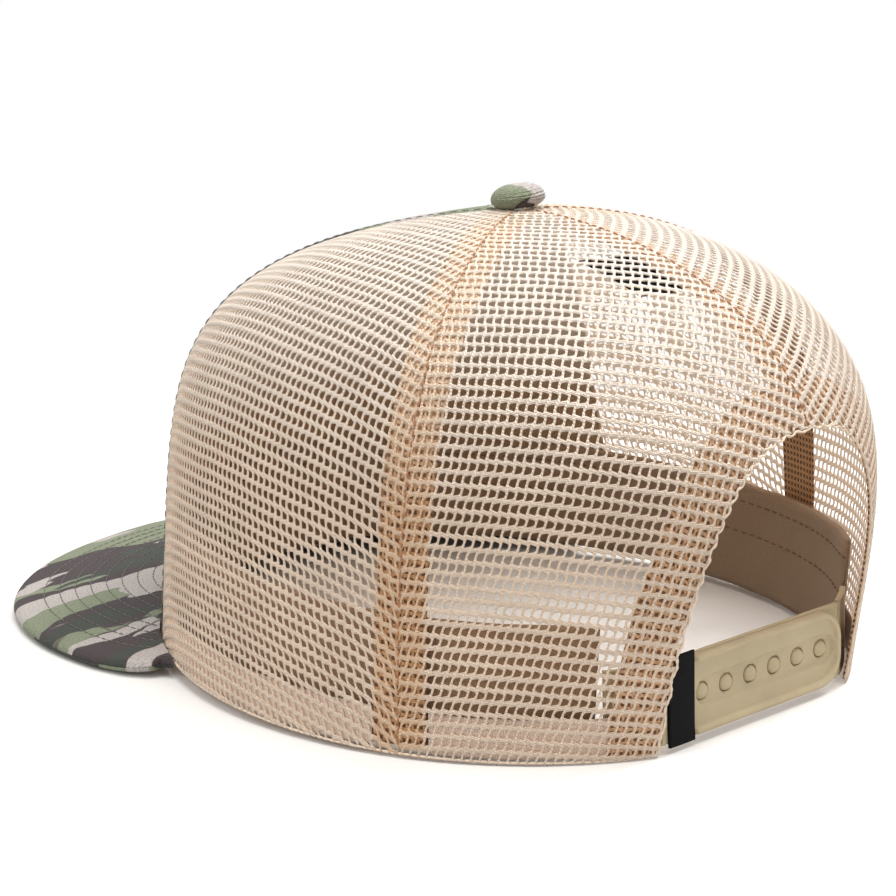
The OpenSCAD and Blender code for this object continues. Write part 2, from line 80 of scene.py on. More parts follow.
@dataclass
class Surface:
    """Quads of a piece, ready to become a mesh.

    Attributes:
        points: vertices in millimetres, n by 3.
        quads: vertex numbers, m by 4.
        uv: flat cloth coordinates of each vertex in millimetres, n by 2.
        area: area of the cut cloth in square millimetres, with a net's holes filled.
    """

    points: Array
    quads: Array
    uv: Array
    area: float = 0.0

    def joined(self, *others: "Surface") -> "Surface":
        """Returns this surface and others as one, side by side."""
        parts = (self,) + others
        starts = np.cumsum([0] + [len(p.points) for p in parts[:-1]])
        return Surface(
            np.concatenate([p.points for p in parts]),
            np.concatenate([p.quads + s for p, s in zip(parts, starts)]),
            np.concatenate([p.uv for p in parts]),
            sum(p.area for p in parts),
        )

    def mirrored(self) -> "Surface":
        """Returns the surface on the other side of x = 0, with its faces turned to stay outward."""
        return Surface(self.points * (-1.0, 1.0, 1.0), self.quads[:, ::-1], self.uv, self.area)

    def build(self, name: str, smooth: bool = True) -> Piece:
        """Puts the surface into a new mesh object.

        Args:
            name: name of the object.
            smooth: whether its faces are shaded smooth.

        Returns:
            The object, at the origin.
        """
        used, quads = np.unique(self.quads, return_inverse=True)
        quads = quads.reshape(self.quads.shape)
        mesh = bpy.data.meshes.new(name)
        mesh.vertices.add(len(used))
        mesh.vertices.foreach_set("co", (self.points[used] * MM).astype(np.float32).ravel())
        mesh.loops.add(quads.size)
        mesh.loops.foreach_set("vertex_index", quads.astype(np.int32).ravel())
        mesh.polygons.add(len(quads))
        mesh.polygons.foreach_set("loop_start", np.arange(0, quads.size, 4, dtype=np.int32))
        mesh.polygons.foreach_set("use_smooth", np.full(len(quads), smooth))
        layer = mesh.uv_layers.new(name="cloth")
        layer.data.foreach_set("uv", (self.uv[used][quads.ravel()] * MM).astype(np.float32).ravel())
        mesh.update(calc_edges=True)
        mesh.validate()
        piece = bpy.data.objects.new(name, mesh)
        bpy.context.scene.collection.objects.link(piece)
        return piece


def shell(outer: Array, inner: Array, uv: Array, keep: Optional[Array] = None) -> Surface:
    """Closed skin between two grids: the quads that are kept, their backs, and walls at free edges.

    Args:
        outer: outer points, rows by columns by 3; columns cross rows outward is the outer side.
        inner: inner points of the same shape.
        uv: flat coordinates, rows by columns by 2.
        keep: which quads exist, one row and one column fewer.

    Returns:
        The surface.
    """
    rows, cols = outer.shape[:2]
    count = rows * cols
    index = np.arange(count).reshape(rows, cols)
    a, b, c, d = index[:-1, :-1], index[:-1, 1:], index[1:, 1:], index[1:, :-1]
    keep = np.ones((rows - 1, cols - 1), bool) if keep is None else keep
    near = np.pad(keep, 1)
    top = np.stack([a, b, c, d], -1)[keep]
    walls = [
        np.stack([q, p, p + count, q + count], -1)[keep & ~there]
        for p, q, there in (
            (a, b, near[:-2, 1:-1]),
            (b, c, near[1:-1, 2:]),
            (c, d, near[2:, 1:-1]),
            (d, a, near[1:-1, :-2]),
        )
    ]
    return Surface(
        np.concatenate([outer.reshape(-1, 3), inner.reshape(-1, 3)]),
        np.concatenate([top, top[:, ::-1] + count] + walls),
        np.concatenate([uv.reshape(-1, 2)] * 2),
    )


def normals(points: Array) -> Array:
    """Unit normals of a grid: the cross product of its central differences along columns and rows."""
    return unit(np.cross(np.gradient(points, axis=1), np.gradient(points, axis=0)))


def unit(v: Array) -> Array:
    """Vectors scaled to length one along the last axis."""
    return v / np.maximum(np.linalg.norm(v, axis=-1, keepdims=True), 1e-9)


def run_of(line: Array) -> Array:
    """Length run along a line up to each of its points."""
    return np.concatenate([[0], np.cumsum(np.linalg.norm(np.diff(line, axis=0), axis=1))])


def nearest(points: Array, targets: Array, parts: int) -> Tuple[Array, Array]:
    """Finds the nearest target of each point, in parts that spare memory.

    Args:
        points: points, n by 2.
        targets: targets, m by 2.
        parts: number of parts.

    Returns:
        The distance to the nearest target, and its number.
    """
    far, number = [], []
    for part in np.array_split(points, parts):
        square = ((part[:, None, :] - targets[None]) ** 2).sum(-1)
        far.append(np.sqrt(square.min(1)))
        number.append(square.argmin(1))
    return np.concatenate(far), np.concatenate(number)


def tubes(paths: Array, radius: Array, across: Array, sides: int = 6, flat: float = 1.0) -> Surface:
    """Closed round threads along many paths at once.

    A ring of `sides` points stands square to each path; its first axis is `across` made square to the path,
    its second is the cross product of both. The ends are drawn in to a point by a radius near nothing.

    Args:
        paths: points, threads by stations by 3.
        radius: radius at each station.
        across: a direction for each thread, threads by 3, that isn't along it.
        sides: points in a ring.
        flat: height of a ring as a share of its width.

    Returns:
        The surface of all the threads.
    """
    n, m = paths.shape[:2]
    along = unit(np.gradient(paths, axis=1))
    side = np.broadcast_to(across[:, None, :], along.shape)
    side = unit(side - along * (side * along).sum(-1, keepdims=True))
    up = np.cross(along, side)
    a = np.linspace(0, 2 * np.pi, sides, endpoint=False)
    ring = side[:, :, None, :] * np.cos(a)[:, None] + flat * up[:, :, None, :] * np.sin(a)[:, None]
    points = paths[:, :, None, :] + ring * np.asarray(radius)[None, :, None, None]
    index = np.arange(n * m * sides).reshape(n, m, sides)
    turn = np.roll(index, -1, axis=2)
    quads = np.stack([index[:, :-1], turn[:, :-1], turn[:, 1:], index[:, 1:]], -1).reshape(-1, 4)
    uv = np.broadcast_to(
        np.stack(np.meshgrid(np.arange(m), np.arange(sides), indexing="ij"), -1), (n, m, sides, 2)
    )
    return Surface(points.reshape(-1, 3), quads, uv.reshape(-1, 2).astype(float))


@dataclass(frozen=True)
class Stitch:
    """Size of a row's stitches in millimetres.

    Attributes:
        length: length of a stitch.
        gap: cloth between two stitches.
        width: width of the thread.
        rise: height of its middle line above the cloth.
    """

    length: float
    gap: float
    width: float
    rise: float

    # Share of the width by which the ends dip under the cloth
    DIP = 0.25
    # Radius along a stitch as a share of the thread's
    TAPER = (0.35, 0.9, 1, 1, 0.9, 0.35)
    # Height of the thread as a share of its width
    FLAT = 0.75

    def row(self, line: Array, out: Array) -> Surface:
        """Row of stitches along a line: arcs of thread that leave the cloth, lie on it and go back in.

        A stitch takes the part length / (length + gap) of each step of arc length. Its height above the line
        is rise * (1 - x^4), less a little under the cloth at both ends, x running from -1 to 1.

        Args:
            line: points on the cloth, n by 3.
            out: outward directions there.

        Returns:
            The surface of the row.
        """
        s = run_of(line)
        count = max(int(s[-1] / (self.length + self.gap)), 1)
        x = np.linspace(-1, 1, len(self.TAPER))
        where = ((np.arange(count) + 0.5) * s[-1] / count)[:, None] + x * self.length / 2
        at, up = (np.stack([np.interp(where, s, v[:, i]) for i in range(3)], -1) for v in (line, out))
        up = unit(up)
        under = self.DIP * self.width
        path = at + up * ((self.rise + under) * (1 - x**4) - under)[:, None]
        side = np.cross(up[:, 2], at[:, -1] - at[:, 0])
        return tubes(path, self.width / 2 * np.array(self.TAPER), side, flat=self.FLAT)


SEAM_STITCH = Stitch(1.6, 0.8, 0.5, 0.16)
FRONT_STITCH = Stitch(2.4, 0.8, 0.45, 0.12)
BAND_STITCH = Stitch(2.6, 0.9, 0.5, 0.15)
VISOR_STITCH = Stitch(2.3, 0.5, 0.36, 0.1)


# Forms


@dataclass(frozen=True)
class CrownForm:
    """Outer face of the crown, the same formula and values as the solids.

    At plan angle p (0 at the wearer's left, 90 at the back) and height share z the plan outline, a
    superellipse, is scaled by (1 - z^shoulder)^(1 / fall) * (1 + full * sin(pi z)) and moved back by
    apex_back * z^2. Shoulder, fall and full are blended round the crown with the square of the sine.
    """

    length: float = 196.8
    width: float = 172.2
    height: float = 120.0
    square: float = 2.05
    lift: float = 7.0
    apex_back: float = 11.0
    shoulder: Tuple[float, float, float] = (6.05, 4.05, 5.25)
    fall: Tuple[float, float, float] = (1.4, 2.04, 1.8)
    full: Tuple[float, float, float] = (0.0, -0.06, 0.095)
    hole: float = 2.5

    # Differences to both sides that give a normal, in degrees and in steps
    NUDGE_ANGLE = 0.5
    NUDGE_STEP = 0.004
    # Halvings that find an angle
    HALVINGS = 26

    @staticmethod
    def around(p: Array, values: Tuple[float, float, float]) -> Array:
        """Value at plan angle p, blended from its front, side and rear values."""
        s = np.sin(np.radians(p))
        front, rear = np.clip(-s, 0, 1) ** 2, np.clip(s, 0, 1) ** 2
        return values[0] * front + values[2] * rear + values[1] * (1 - front - rear)

    def hem(self, p: Array) -> Array:
        """Height of the hem: lift times the square of (1 - sin p) / 2."""
        return self.lift * ((1 - np.sin(np.radians(p))) / 2) ** 2

    def outline(self, p: Array) -> Array:
        """Plan outline of the head opening at plan angle p."""
        c, s = np.cos(np.radians(p)), np.sin(np.radians(p))
        reach = (np.abs(c) ** self.square + np.abs(s) ** self.square) ** (-1 / self.square)
        return np.stack([self.width / 2 * c * reach, self.length / 2 * s * reach], -1)

    def point(self, p: Array, z: Array) -> Array:
        """Point of the outer face at plan angle p and height share z."""
        p, z = np.broadcast_arrays(np.asarray(p, float), np.asarray(z, float))
        left = np.maximum(1 - np.clip(z, 0, 1) ** self.around(p, self.shoulder), 0)
        r = left ** (1 / self.around(p, self.fall))
        r = r * (1 + self.around(p, self.full) * np.sin(np.pi * z))
        q, h = self.outline(p) * r[..., None], self.hem(p)
        return np.stack([q[..., 0], q[..., 1] + self.apex_back * z * z, h + (self.height - h) * z], -1)

    @staticmethod
    def rise(t: Array) -> Array:
        """Height share at an even step t from the hem to the button."""
        return 1 - (1 - np.asarray(t, float)) ** 2

    @staticmethod
    def step(z: Array) -> Array:
        """Even step at a height share, the inverse of rise."""
        return 1 - np.sqrt(1 - np.clip(z, 0, 1))

    def top(self, p: Array, radius: float) -> Array:
        """Step at which the crown has closed in to a radius round the button."""
        size = np.linalg.norm(self.outline(p), axis=-1)
        return 1 - np.sqrt((radius / size) ** self.around(p, self.fall) / self.around(p, self.shoulder))

    def normal(self, p: Array, t: Array) -> Array:
        """Outward unit normal by small differences of angle and step."""
        p, t = np.broadcast_arrays(np.asarray(p, float), np.asarray(t, float))
        a = self.point(p + self.NUDGE_ANGLE, self.rise(t)) - self.point(p - self.NUDGE_ANGLE, self.rise(t))
        above, below = np.minimum(t + self.NUDGE_STEP, 1), np.maximum(t - self.NUDGE_STEP, 0)
        b = self.point(p, self.rise(above)) - self.point(p, self.rise(below))
        return unit(np.cross(a, b))

    def lay(self, p: Array, t: Array, depth: Array) -> Array:
        """Point at a depth below the outer face."""
        return self.point(p, self.rise(t)) - np.asarray(depth)[..., None] * self.normal(p, t)

    def angle(self, x: Array, z: Array) -> Array:
        """Plan angle at the back where the outer face is x from the middle, by halving."""
        low, high = np.zeros_like(x), np.full_like(x, 90.0)
        for _ in range(self.HALVINGS):
            mid = (low + high) / 2
            far = self.point(mid, z)[..., 0] > np.abs(x)
            low, high = np.where(far, mid, low), np.where(far, high, mid)
        return np.where(x < 0, 180 - low, low)


FORM = CrownForm()


@dataclass(frozen=True)
class Arch:
    """Edge of the rear opening: a superellipse over x and height."""

    half: float = 36.0
    height: float = 76.0
    square: float = 2.6

    def scale(self, x: Array, z: Array) -> Array:
        """How many times the arch has to grow to pass through a point; 1 on the edge."""
        wide, high = np.abs(x) / self.half, np.abs(z) / self.height
        return (wide**self.square + high**self.square) ** (1 / self.square)

    @staticmethod
    def sweep(count: int) -> Array:
        """Angles round the arch from one foot to the other, closer together at the feet."""
        return np.pi / 2 * (1 - np.cos(np.linspace(0.055, np.pi - 0.055, count)))

    def ring(self, a: Array, grow: Array) -> Tuple[Array, Array]:
        """Plan angle and step of points at the angle a round the arch, grown by some millimetres."""
        c, s = np.cos(a), np.sin(a)
        x = np.sign(c) * (self.half + grow) * np.abs(c) ** (2 / self.square)
        z = (self.height + grow) * np.abs(s) ** (2 / self.square) / FORM.height
        return FORM.angle(x, z), FORM.step(z)


ARCH = Arch()


class Gore:
    """Flat cut of one panel between two seams.

    Lines of equal share k run from hem to button. Across a gore the flat coordinate u is the arc length from
    the middle line; along a line the flat height grows by ds, less a share of what the root of ds^2 - du^2
    would take off, counted down from the button. With the whole share every line keeps its length; with less
    the cloth gives at the seams. Tables of both, turned round, give the place of any flat point on the crown.
    """

    # Share of a seam, counted from the hem, over which the gore's lines are spread
    REACH = 0.975
    # How far beyond a seam the tables run, as a share of the half width
    BEYOND = 1.6

    def __init__(
        self, first: Curve, last: Curve, share: float = 1.0, tilt: float = 0.0, cut: Optional[Curve] = None
    ) -> None:
        """Works out the tables.

        Args:
            first: plan angle of the seam at the lower angle, as a function of the step.
            last: plan angle of the other seam.
            share: how far lines keep their length.
            tilt: degrees by which the weave is turned in the flat cut.
            cut: line along which the cloth is cut at the lower angle, where that isn't the first seam.
        """
        self.first, self.last, self.tilt = first, last, math.radians(tilt)
        self.k = np.linspace(-self.BEYOND, self.BEYOND, 97)
        self.tau = np.linspace(0, 1, 241)
        p = self.angle(self.k[:, None], self.tau)
        points = FORM.point(p, FORM.rise(self.tau * FORM.top(p, FORM.hole)))
        across = np.linalg.norm(np.diff(points, axis=0), axis=-1)
        u = np.concatenate([np.zeros((1, across.shape[1])), np.cumsum(across, axis=0)])
        u = u - u[len(self.k) // 2]
        ds = np.linalg.norm(np.diff(points, axis=1), axis=-1)
        root = np.sqrt(np.maximum(ds**2 - np.diff(u, axis=1) ** 2, (0.15 * ds) ** 2))
        dv = ds + (root - ds) * share
        self.height = float(ds[len(self.k) // 2].sum())
        tail = np.cumsum(dv[:, ::-1], axis=1)[:, ::-1]
        v = self.height - np.concatenate([tail, np.zeros((len(self.k), 1))], axis=1)
        self.hem_v = v[:, 0]
        self.v = np.arange(self.hem_v.min(), self.height, 1.0)
        self.tau_of = np.stack([np.interp(self.v, row, self.tau) for row in v])
        u_of = np.stack([np.interp(t, self.tau, row) for t, row in zip(self.tau_of, u)])
        self.u = np.linspace(u_of.min(), u_of.max(), 241)
        self.k_of = np.stack([np.interp(self.u, column, self.k) for column in u_of.T], 1)
        self.edge_u = {}
        for edge, seam in ((Edge.FIRST, cut or first), (Edge.LAST, last)):
            past = self.k[:, None] - self.share_at(seam, self.tau_of)
            self.edge_u[edge] = np.array([np.interp(0.0, row, column) for row, column in zip(past.T, u_of.T)])
        inside = (np.abs(self.k) <= 1.0001)[:-1, None]
        self.area = float((0.5 * (across[:, 1:] + across[:, :-1]) * dv[:-1] * inside).sum())

    def seams(self, tau: Array) -> Tuple[Array, Array]:
        """Plan angle midway between the seams, and half the angle from one to the other."""
        a, b = (seam(self.REACH * tau) for seam in (self.first, self.last))
        return (a + b) / 2, (b - a) / 2

    def angle(self, k: Array, tau: Array) -> Array:
        """Plan angle at the share k between the seams."""
        middle, half = self.seams(tau)
        return middle + k * half

    def share_at(self, seam: Curve, tau: Array) -> Array:
        """Share between the seams at which a line on the crown lies."""
        middle, half = self.seams(tau)
        return (seam(self.REACH * tau) - middle) / half

    @property
    def flat(self) -> Tuple[float, float]:
        """Width and height of the flat cut."""
        width = (self.edge_u[Edge.LAST] - self.edge_u[Edge.FIRST]).max()
        return float(width), float(self.height - np.interp(0, self.k, self.hem_v))

    @staticmethod
    def look_up(table: Array, x: Array, y: Array) -> Array:
        """Value of a table between its points, x and y being fractions of an index."""
        x, y = np.clip(x, 0, table.shape[0] - 1.001), np.clip(y, 0, table.shape[1] - 1.001)
        i, j = x.astype(int), y.astype(int)
        fx, fy = x - i, y - j
        low = table[i, j] * (1 - fx) + table[i + 1, j] * fx
        high = table[i, j + 1] * (1 - fx) + table[i + 1, j + 1] * fx
        return low * (1 - fy) + high * fy

    def turned(self, a: Array, b: Array, back: bool = False) -> Tuple[Array, Array]:
        """Turns weave coordinates into flat ones, or back."""
        c, s = math.cos(self.tilt), math.sin(self.tilt) * (-1 if back else 1)
        return a * c - b * s, a * s + b * c

    def trim(self, u: Array, v: Array) -> Tuple[Array, Array]:
        """Moves flat points that lie beyond a seam onto it.

        Args:
            u: flat coordinate across.
            v: flat height.

        Returns:
            The trimmed u, and whether each point was inside.
        """
        low, high = (np.interp(v, self.v, self.edge_u[e]) for e in Edge)
        return np.clip(u, low, high), (u > low) & (u < high)

    def place(self, u: Array, v: Array) -> Tuple[Array, Array, Array]:
        """Finds flat points on the crown.

        Args:
            u: flat coordinate across.
            v: flat height.

        Returns:
            Plan angle, step, and height above the hem along the cloth.
        """
        row = v - self.v[0]
        k = self.look_up(self.k_of, (u - self.u[0]) / (self.u[1] - self.u[0]), row)
        tau = self.look_up(self.tau_of, (k - self.k[0]) / (self.k[1] - self.k[0]), row)
        p = self.angle(k, tau)
        return p, tau * FORM.top(p, FORM.hole), v - np.interp(k, self.k, self.hem_v)


GRAIN_LOW, GRAIN_TURN, GRAIN_BULGE = 29.0, 17.0, 10.0
LINING_LAP, LINING_TURN = 16.0, 13.0


def grain_seam(t: Array) -> Array:
    """Plan angle of the solids' left front seam, to which the net's grain is laid."""
    z = FORM.rise(t)
    return -(GRAIN_LOW + GRAIN_TURN * z) - GRAIN_BULGE * np.sin(np.pi * z)


SEAM_STEPS = (0.0, 0.1, 0.3, 0.5, 0.66, 0.8, 0.9, 1.0)
SEAM_ANGLES = (-36.5, -44.0, -48.5, -54.5, -59.5, -54.0, -44.0, -36.0)


def front_seam(t: Array) -> Array:
    """Plan angle of the left front seam as it is sewn: a few angles, smoothed by a running mean."""
    shifts = np.linspace(-0.06, 0.06, 9)
    return sum(np.interp(np.asarray(t) + d, SEAM_STEPS, SEAM_ANGLES) for d in shifts) / len(shifts)


def lining_edge(t: Array) -> Array:
    """Plan angle of the lining's right edge, which laps past the seam behind the mesh."""
    return -180 + LINING_LAP + LINING_TURN * FORM.rise(t)


def steady(angle: float) -> Curve:
    """Seam that keeps one plan angle."""
    return lambda t: np.full_like(np.asarray(t, float), angle)


SIDE_SEAM = steady(26.5)
BACK_SEAM = steady(90.0)
FRONT_GORE = Gore(lambda t: -180 - front_seam(t), front_seam)
LINING_GORE = Gore(lining_edge, grain_seam)
SIDE_GORE = Gore(grain_seam, SIDE_SEAM, share=0.8, tilt=3.5, cut=front_seam)
REAR_GORE = Gore(SIDE_SEAM, BACK_SEAM, share=0.4, tilt=-18.5)


# Finishes


def tint(red: int, green: int, blue: int) -> Colour:
    """Linear colour of an eye colour given from 0 to 255."""
    c = np.array([red, green, blue]) / 255
    lin = np.where(c <= 0.04045, c / 12.92, ((c + 0.055) / 1.055) ** 2.4)
    return (float(lin[0]), float(lin[1]), float(lin[2]), 1.0)


class NodeBench:
    """Short way to place and link the nodes of one tree."""

    def __init__(self, tree: bpy.types.NodeTree) -> None:
        """Takes the tree to work on."""
        self.tree = tree

    def add(self, kind: str, inputs: Optional[dict] = None, **props: object) -> Node:
        """Places a node.

        Args:
            kind: node type without its prefix.
            inputs: values, or sockets to link, by input name or number.
            props: settings of the node.

        Returns:
            The node.
        """
        node = self.tree.nodes.new("ShaderNode" + kind)
        for name, value in props.items():
            setattr(node, name, value)
        for name, value in (inputs or {}).items():
            if isinstance(value, Socket):
                self.link(value, node.inputs[name])
            else:
                node.inputs[name].default_value = value
        return node

    def link(self, source: Socket, socket: Socket) -> None:
        """Links a source to a socket."""
        self.tree.links.new(source, socket)

    def grey(self, value: Socket) -> Socket:
        """Grey of some value."""
        return self.add("CombineColor", {0: value, 1: value, 2: value}).outputs[0]

    def times(self, colour: object, factor: Socket) -> Socket:
        """Colour multiplied by a value."""
        return self.mix(1.0, colour, self.grey(factor), "MULTIPLY")

    def place(self) -> Socket:
        """Place on the object."""
        return self.add("TexCoord").outputs["Object"]

    def cloth(self) -> Socket:
        """Place on the flat cloth."""
        return self.add("UVMap", uv_map="cloth").outputs[0]

    def effect(self, tree: bpy.types.NodeTree, inputs: dict) -> Node:
        """Node of a shared effect."""
        return self.add("Group", inputs, node_tree=tree)

    def math(self, operation: str, a: object, b: object = 0.0, c: object = 0.0) -> Socket:
        """Result of a Math node."""
        return self.add("Math", {0: a, 1: b, 2: c}, operation=operation).outputs[0]

    def mix(self, factor: object, a: object, b: object, blend: str = "MIX") -> Socket:
        """Result of a colour Mix node."""
        node = self.add("Mix", {0: factor, 6: a, 7: b}, data_type="RGBA", blend_type=blend)
        return node.outputs[2]

    def noise(
        self, vector: object, scale: float, detail: float = 2.0, rough: float = 0.5
    ) -> Socket:
        """Value of a Noise texture."""
        node = self.add("TexNoise", {"Vector": vector, "Scale": scale, "Detail": detail, "Roughness": rough})
        return node.outputs["Fac"]

    def span(
        self, value: object, low: float, high: float, to_low: float = 0.0, to_high: float = 1.0
    ) -> Socket:
        """Value carried from one range to another and held there."""
        node = self.add("MapRange", {0: value, 1: low, 2: high, 3: to_low, 4: to_high}, clamp=True)
        return node.outputs[0]

    def height(self, low: float, high: float) -> Socket:
        """Share of the way up between two heights above the table in millimetres."""
        place = self.add("SeparateXYZ", {0: self.place()})
        return self.span(place.outputs[2], low * MM, high * MM)


def group(name: str, inputs: dict, outputs: Sequence[Tuple[str, str]], fill: Callable) -> bpy.types.NodeTree:
    """Makes a shader node group.

    Args:
        name: name of the group.
        inputs: kind and default value by input name.
        outputs: name and kind of each output.
        fill: function of the bench and the inputs' sockets that returns the outputs' sockets in order.

    Returns:
        The group.
    """
    tree = bpy.data.node_groups.new(name, "ShaderNodeTree")
    for label, (kind, value) in inputs.items():
        socket = tree.interface.new_socket(label, in_out="INPUT", socket_type="NodeSocket" + kind)
        if value is not None:
            socket.default_value = value
    for label, kind in outputs:
        tree.interface.new_socket(label, in_out="OUTPUT", socket_type="NodeSocket" + kind)
    bench = NodeBench(tree)
    source, sink = tree.nodes.new("NodeGroupInput"), tree.nodes.new("NodeGroupOutput")
    for socket, out in zip(sink.inputs, fill(bench, source.outputs)):
        bench.link(out, socket)
    return tree


def fill_twill(bench: NodeBench, given: object) -> list:
    """Twill: slanting ribs, the sine of (u + v), broken by a crossing sine and by noise."""
    xyz = bench.add("SeparateXYZ", {0: given["Cloth"]})
    turn = bench.math("MULTIPLY", given["Threads"], 2 * math.pi)
    rib = bench.math("SINE", bench.math("MULTIPLY", bench.math("ADD", xyz.outputs[0], xyz.outputs[1]), turn))
    pick = bench.math("SINE", bench.math("MULTIPLY", xyz.outputs[0], bench.math("MULTIPLY", turn, 1.31)))
    fuzz = bench.noise(given["Cloth"], scale=900.0, detail=3.0, rough=0.7)
    height = bench.math("ADD", bench.math("MULTIPLY", rib, 0.5), bench.math("MULTIPLY", pick, 0.25))
    height = bench.math("ADD", height, bench.math("MULTIPLY", fuzz, 0.9))
    return [height, bench.span(height, -0.4, 1.2, 0.74, 1.12)]


def fill_fibre(bench: NodeBench, given: object) -> list:
    """Fibre: fine noise for the yarn's fuzz and broad noise for uneven dye."""
    fine = bench.noise(given["Place"], scale=2600.0, detail=2.0, rough=0.6)
    broad = bench.noise(given["Place"], scale=60.0, detail=2.0, rough=0.5)
    shade = bench.math("ADD", bench.span(fine, 0.3, 0.7, -0.5, 0.5), bench.span(broad, 0.3, 0.7, -0.4, 0.4))
    return [bench.math("MULTIPLY_ADD", shade, given["Amount"], 1.0), fine]


# Dye, turn of its patches, their number in a metre both ways, offset, and noise level above which it shows
CAMO_LAYERS = (
    ("Brown", 0.30, (17, 52), 0.11, 0.50),
    ("Sand", 0.22, (15, 64), 0.37, 0.59),
    ("Dark", 0.36, (19, 58), 0.83, 0.58),
    ("Sand", 0.20, (24, 75), 1.31, 0.64),
)


def fill_camo(bench: NodeBench, given: object) -> list:
    """Woodland pattern: bands of stretched, warped noise in four dyes, over a grainy cloth."""
    warp = bench.add("TexNoise", {"Vector": given["Cloth"], "Scale": 38.0, "Detail": 2.0})
    shift = bench.add("VectorMath", {0: warp.outputs["Color"], 1: (0.5, 0.5, 0.5)}, operation="SUBTRACT")
    moved = bench.add("VectorMath", {0: shift.outputs[0], 3: 0.016}, operation="SCALE")
    cloth = bench.add("VectorMath", {0: given["Cloth"], 1: moved.outputs[0]}, operation="ADD").outputs[0]

    def patch(turn: float, stretch: Tuple[float, float], offset: float, low: float) -> Socket:
        """Mask of one dye: noise on turned and stretched cloth above a level, with a crisp edge."""
        place = bench.add("Mapping", {
            "Vector": cloth,
            "Location": (offset, offset * 0.7, 0.3),
            "Rotation": (0, 0, turn),
            "Scale": (*stretch, 1),
        })
        value = bench.noise(place.outputs[0], scale=1.0, detail=1.5, rough=0.45)
        return bench.span(value, low, low + 0.006)

    colour = given["Green"]
    for dye, *layer in CAMO_LAYERS:
        colour = bench.mix(patch(*layer), colour, given[dye])
    grain = bench.span(bench.noise(given["Cloth"], scale=1500.0, detail=2.0, rough=0.6), 0.3, 0.7, 0.74, 1.2)
    return [bench.times(colour, grain)]


@dataclass(frozen=True)
class Groups:
    """Shared effects, each one node group."""

    twill: bpy.types.NodeTree
    fibre: bpy.types.NodeTree
    camo: bpy.types.NodeTree

    @classmethod
    def make(cls) -> "Groups":
        """Builds the groups once."""
        return cls(
            group(
                "twill weave",
                {"Cloth": ("Vector", None), "Threads": ("Float", 1400.0)},
                [("Height", "Float"), ("Shade", "Float")],
                fill_twill,
            ),
            group(
                "fibre",
                {"Place": ("Vector", None), "Amount": ("Float", 0.1)},
                [("Shade", "Float"), ("Height", "Float")],
                fill_fibre,
            ),
            group(
                "woodland dyes",
                {
                    "Cloth": ("Vector", None),
                    "Green": ("Color", tint(138, 145, 119)),
                    "Brown": ("Color", tint(68, 57, 58)),
                    "Dark": ("Color", tint(60, 64, 57)),
                    "Sand": ("Color", tint(194, 185, 179)),
                },
                [("Color", "Color")],
                fill_camo,
            ),
        )


GROUPS = Groups.make()


@dataclass(frozen=True)
class Finish:
    """Base of all finishes: a plain Principled material with its constants.

    Attributes:
        name: material name.
        slot: material slot of the record that the finish belongs to.
        colour: main colour.
        rough: roughness.
        sheen: weight of the cloth's sheen.
    """

    name: str
    slot: str
    colour: Colour
    rough: float = 0.8
    sheen: float = 0.0

    def paint(self, bench: NodeBench, shader: Node) -> None:
        """Links what changes over the surface; here the fibre's shade and fuzz."""
        fibre = bench.effect(GROUPS.fibre, {"Place": bench.place()})
        self.shade(bench, shader, self.colour, fibre.outputs["Shade"])
        self.bump(bench, shader, fibre.outputs["Height"], 0.1)

    @staticmethod
    def shade(bench: NodeBench, shader: Node, colour: object, factor: Socket) -> None:
        """Links a colour times a factor to the base colour."""
        bench.link(bench.times(colour, factor), shader.inputs["Base Color"])

    @staticmethod
    def bump(bench: NodeBench, shader: Node, height: Socket, depth: float) -> None:
        """Links a height to the normal through a Bump node of some depth in millimetres."""
        node = bench.add("Bump", {"Height": height, "Distance": depth * MM, "Strength": 1.0})
        bench.link(node.outputs[0], shader.inputs["Normal"])

    @staticmethod
    def light_up(bench: NodeBench, shader: Node, colour: Colour, level: Socket, strength: float) -> None:
        """Lets a surface shine in a colour by a level, as thin cloth does that light falls through."""
        bench.link(bench.times(colour, level), shader.inputs["Emission Color"])
        shader.inputs["Emission Strength"].default_value = strength

    def make(self) -> bpy.types.Material:
        """Returns the material, made the first time it is asked for."""
        found = bpy.data.materials.get(self.name)
        if found is not None:
            return found
        material = bpy.data.materials.new(self.name)
        material.use_nodes = True
        shader = material.node_tree.nodes["Principled BSDF"]
        shader.inputs["Roughness"].default_value = self.rough
        shader.inputs["Sheen Weight"].default_value = self.sheen
        shader.inputs["Sheen Roughness"].default_value = 0.4
        self.paint(NodeBench(material.node_tree), shader)
        return material


@dataclass(frozen=True)
class Twill(Finish):
    """Woven twill of one colour on the piece's flat coordinates."""

    threads: float = 1400.0
    depth: float = 0.12

    def paint(self, bench: NodeBench, shader: Node) -> None:
        """Links twill ribs and the colour given by dye, into which some finishes paint light and shade."""
        cloth = bench.cloth()
        twill = bench.effect(GROUPS.twill, {"Cloth": cloth, "Threads": self.threads})
        self.shade(bench, shader, self.dye(bench, cloth), twill.outputs["Shade"])
        self.bump(bench, shader, twill.outputs["Height"], self.depth)

    def dye(self, bench: NodeBench, cloth: Socket) -> object:
        """Colour, or the socket of one, before the weave's shade; some finishes paint light and shade into
        it.
        """
        return self.colour


@dataclass(frozen=True)
class MattTwill(Twill):
    """Twill with hardly any shine, as black cloth has."""

    shine: float = 0.12

    def paint(self, bench: NodeBench, shader: Node) -> None:
        """Links the cloth and lowers its shine."""
        super().paint(bench, shader)
        shader.inputs["Specular IOR Level"].default_value = self.shine


@dataclass(frozen=True)
class Camo(Twill):
    """Twill printed with the woodland dyes."""

    def dye(self, bench: NodeBench, cloth: Socket) -> Socket:
        """Colour of the print."""
        return bench.effect(GROUPS.camo, {"Cloth": cloth}).outputs["Color"]


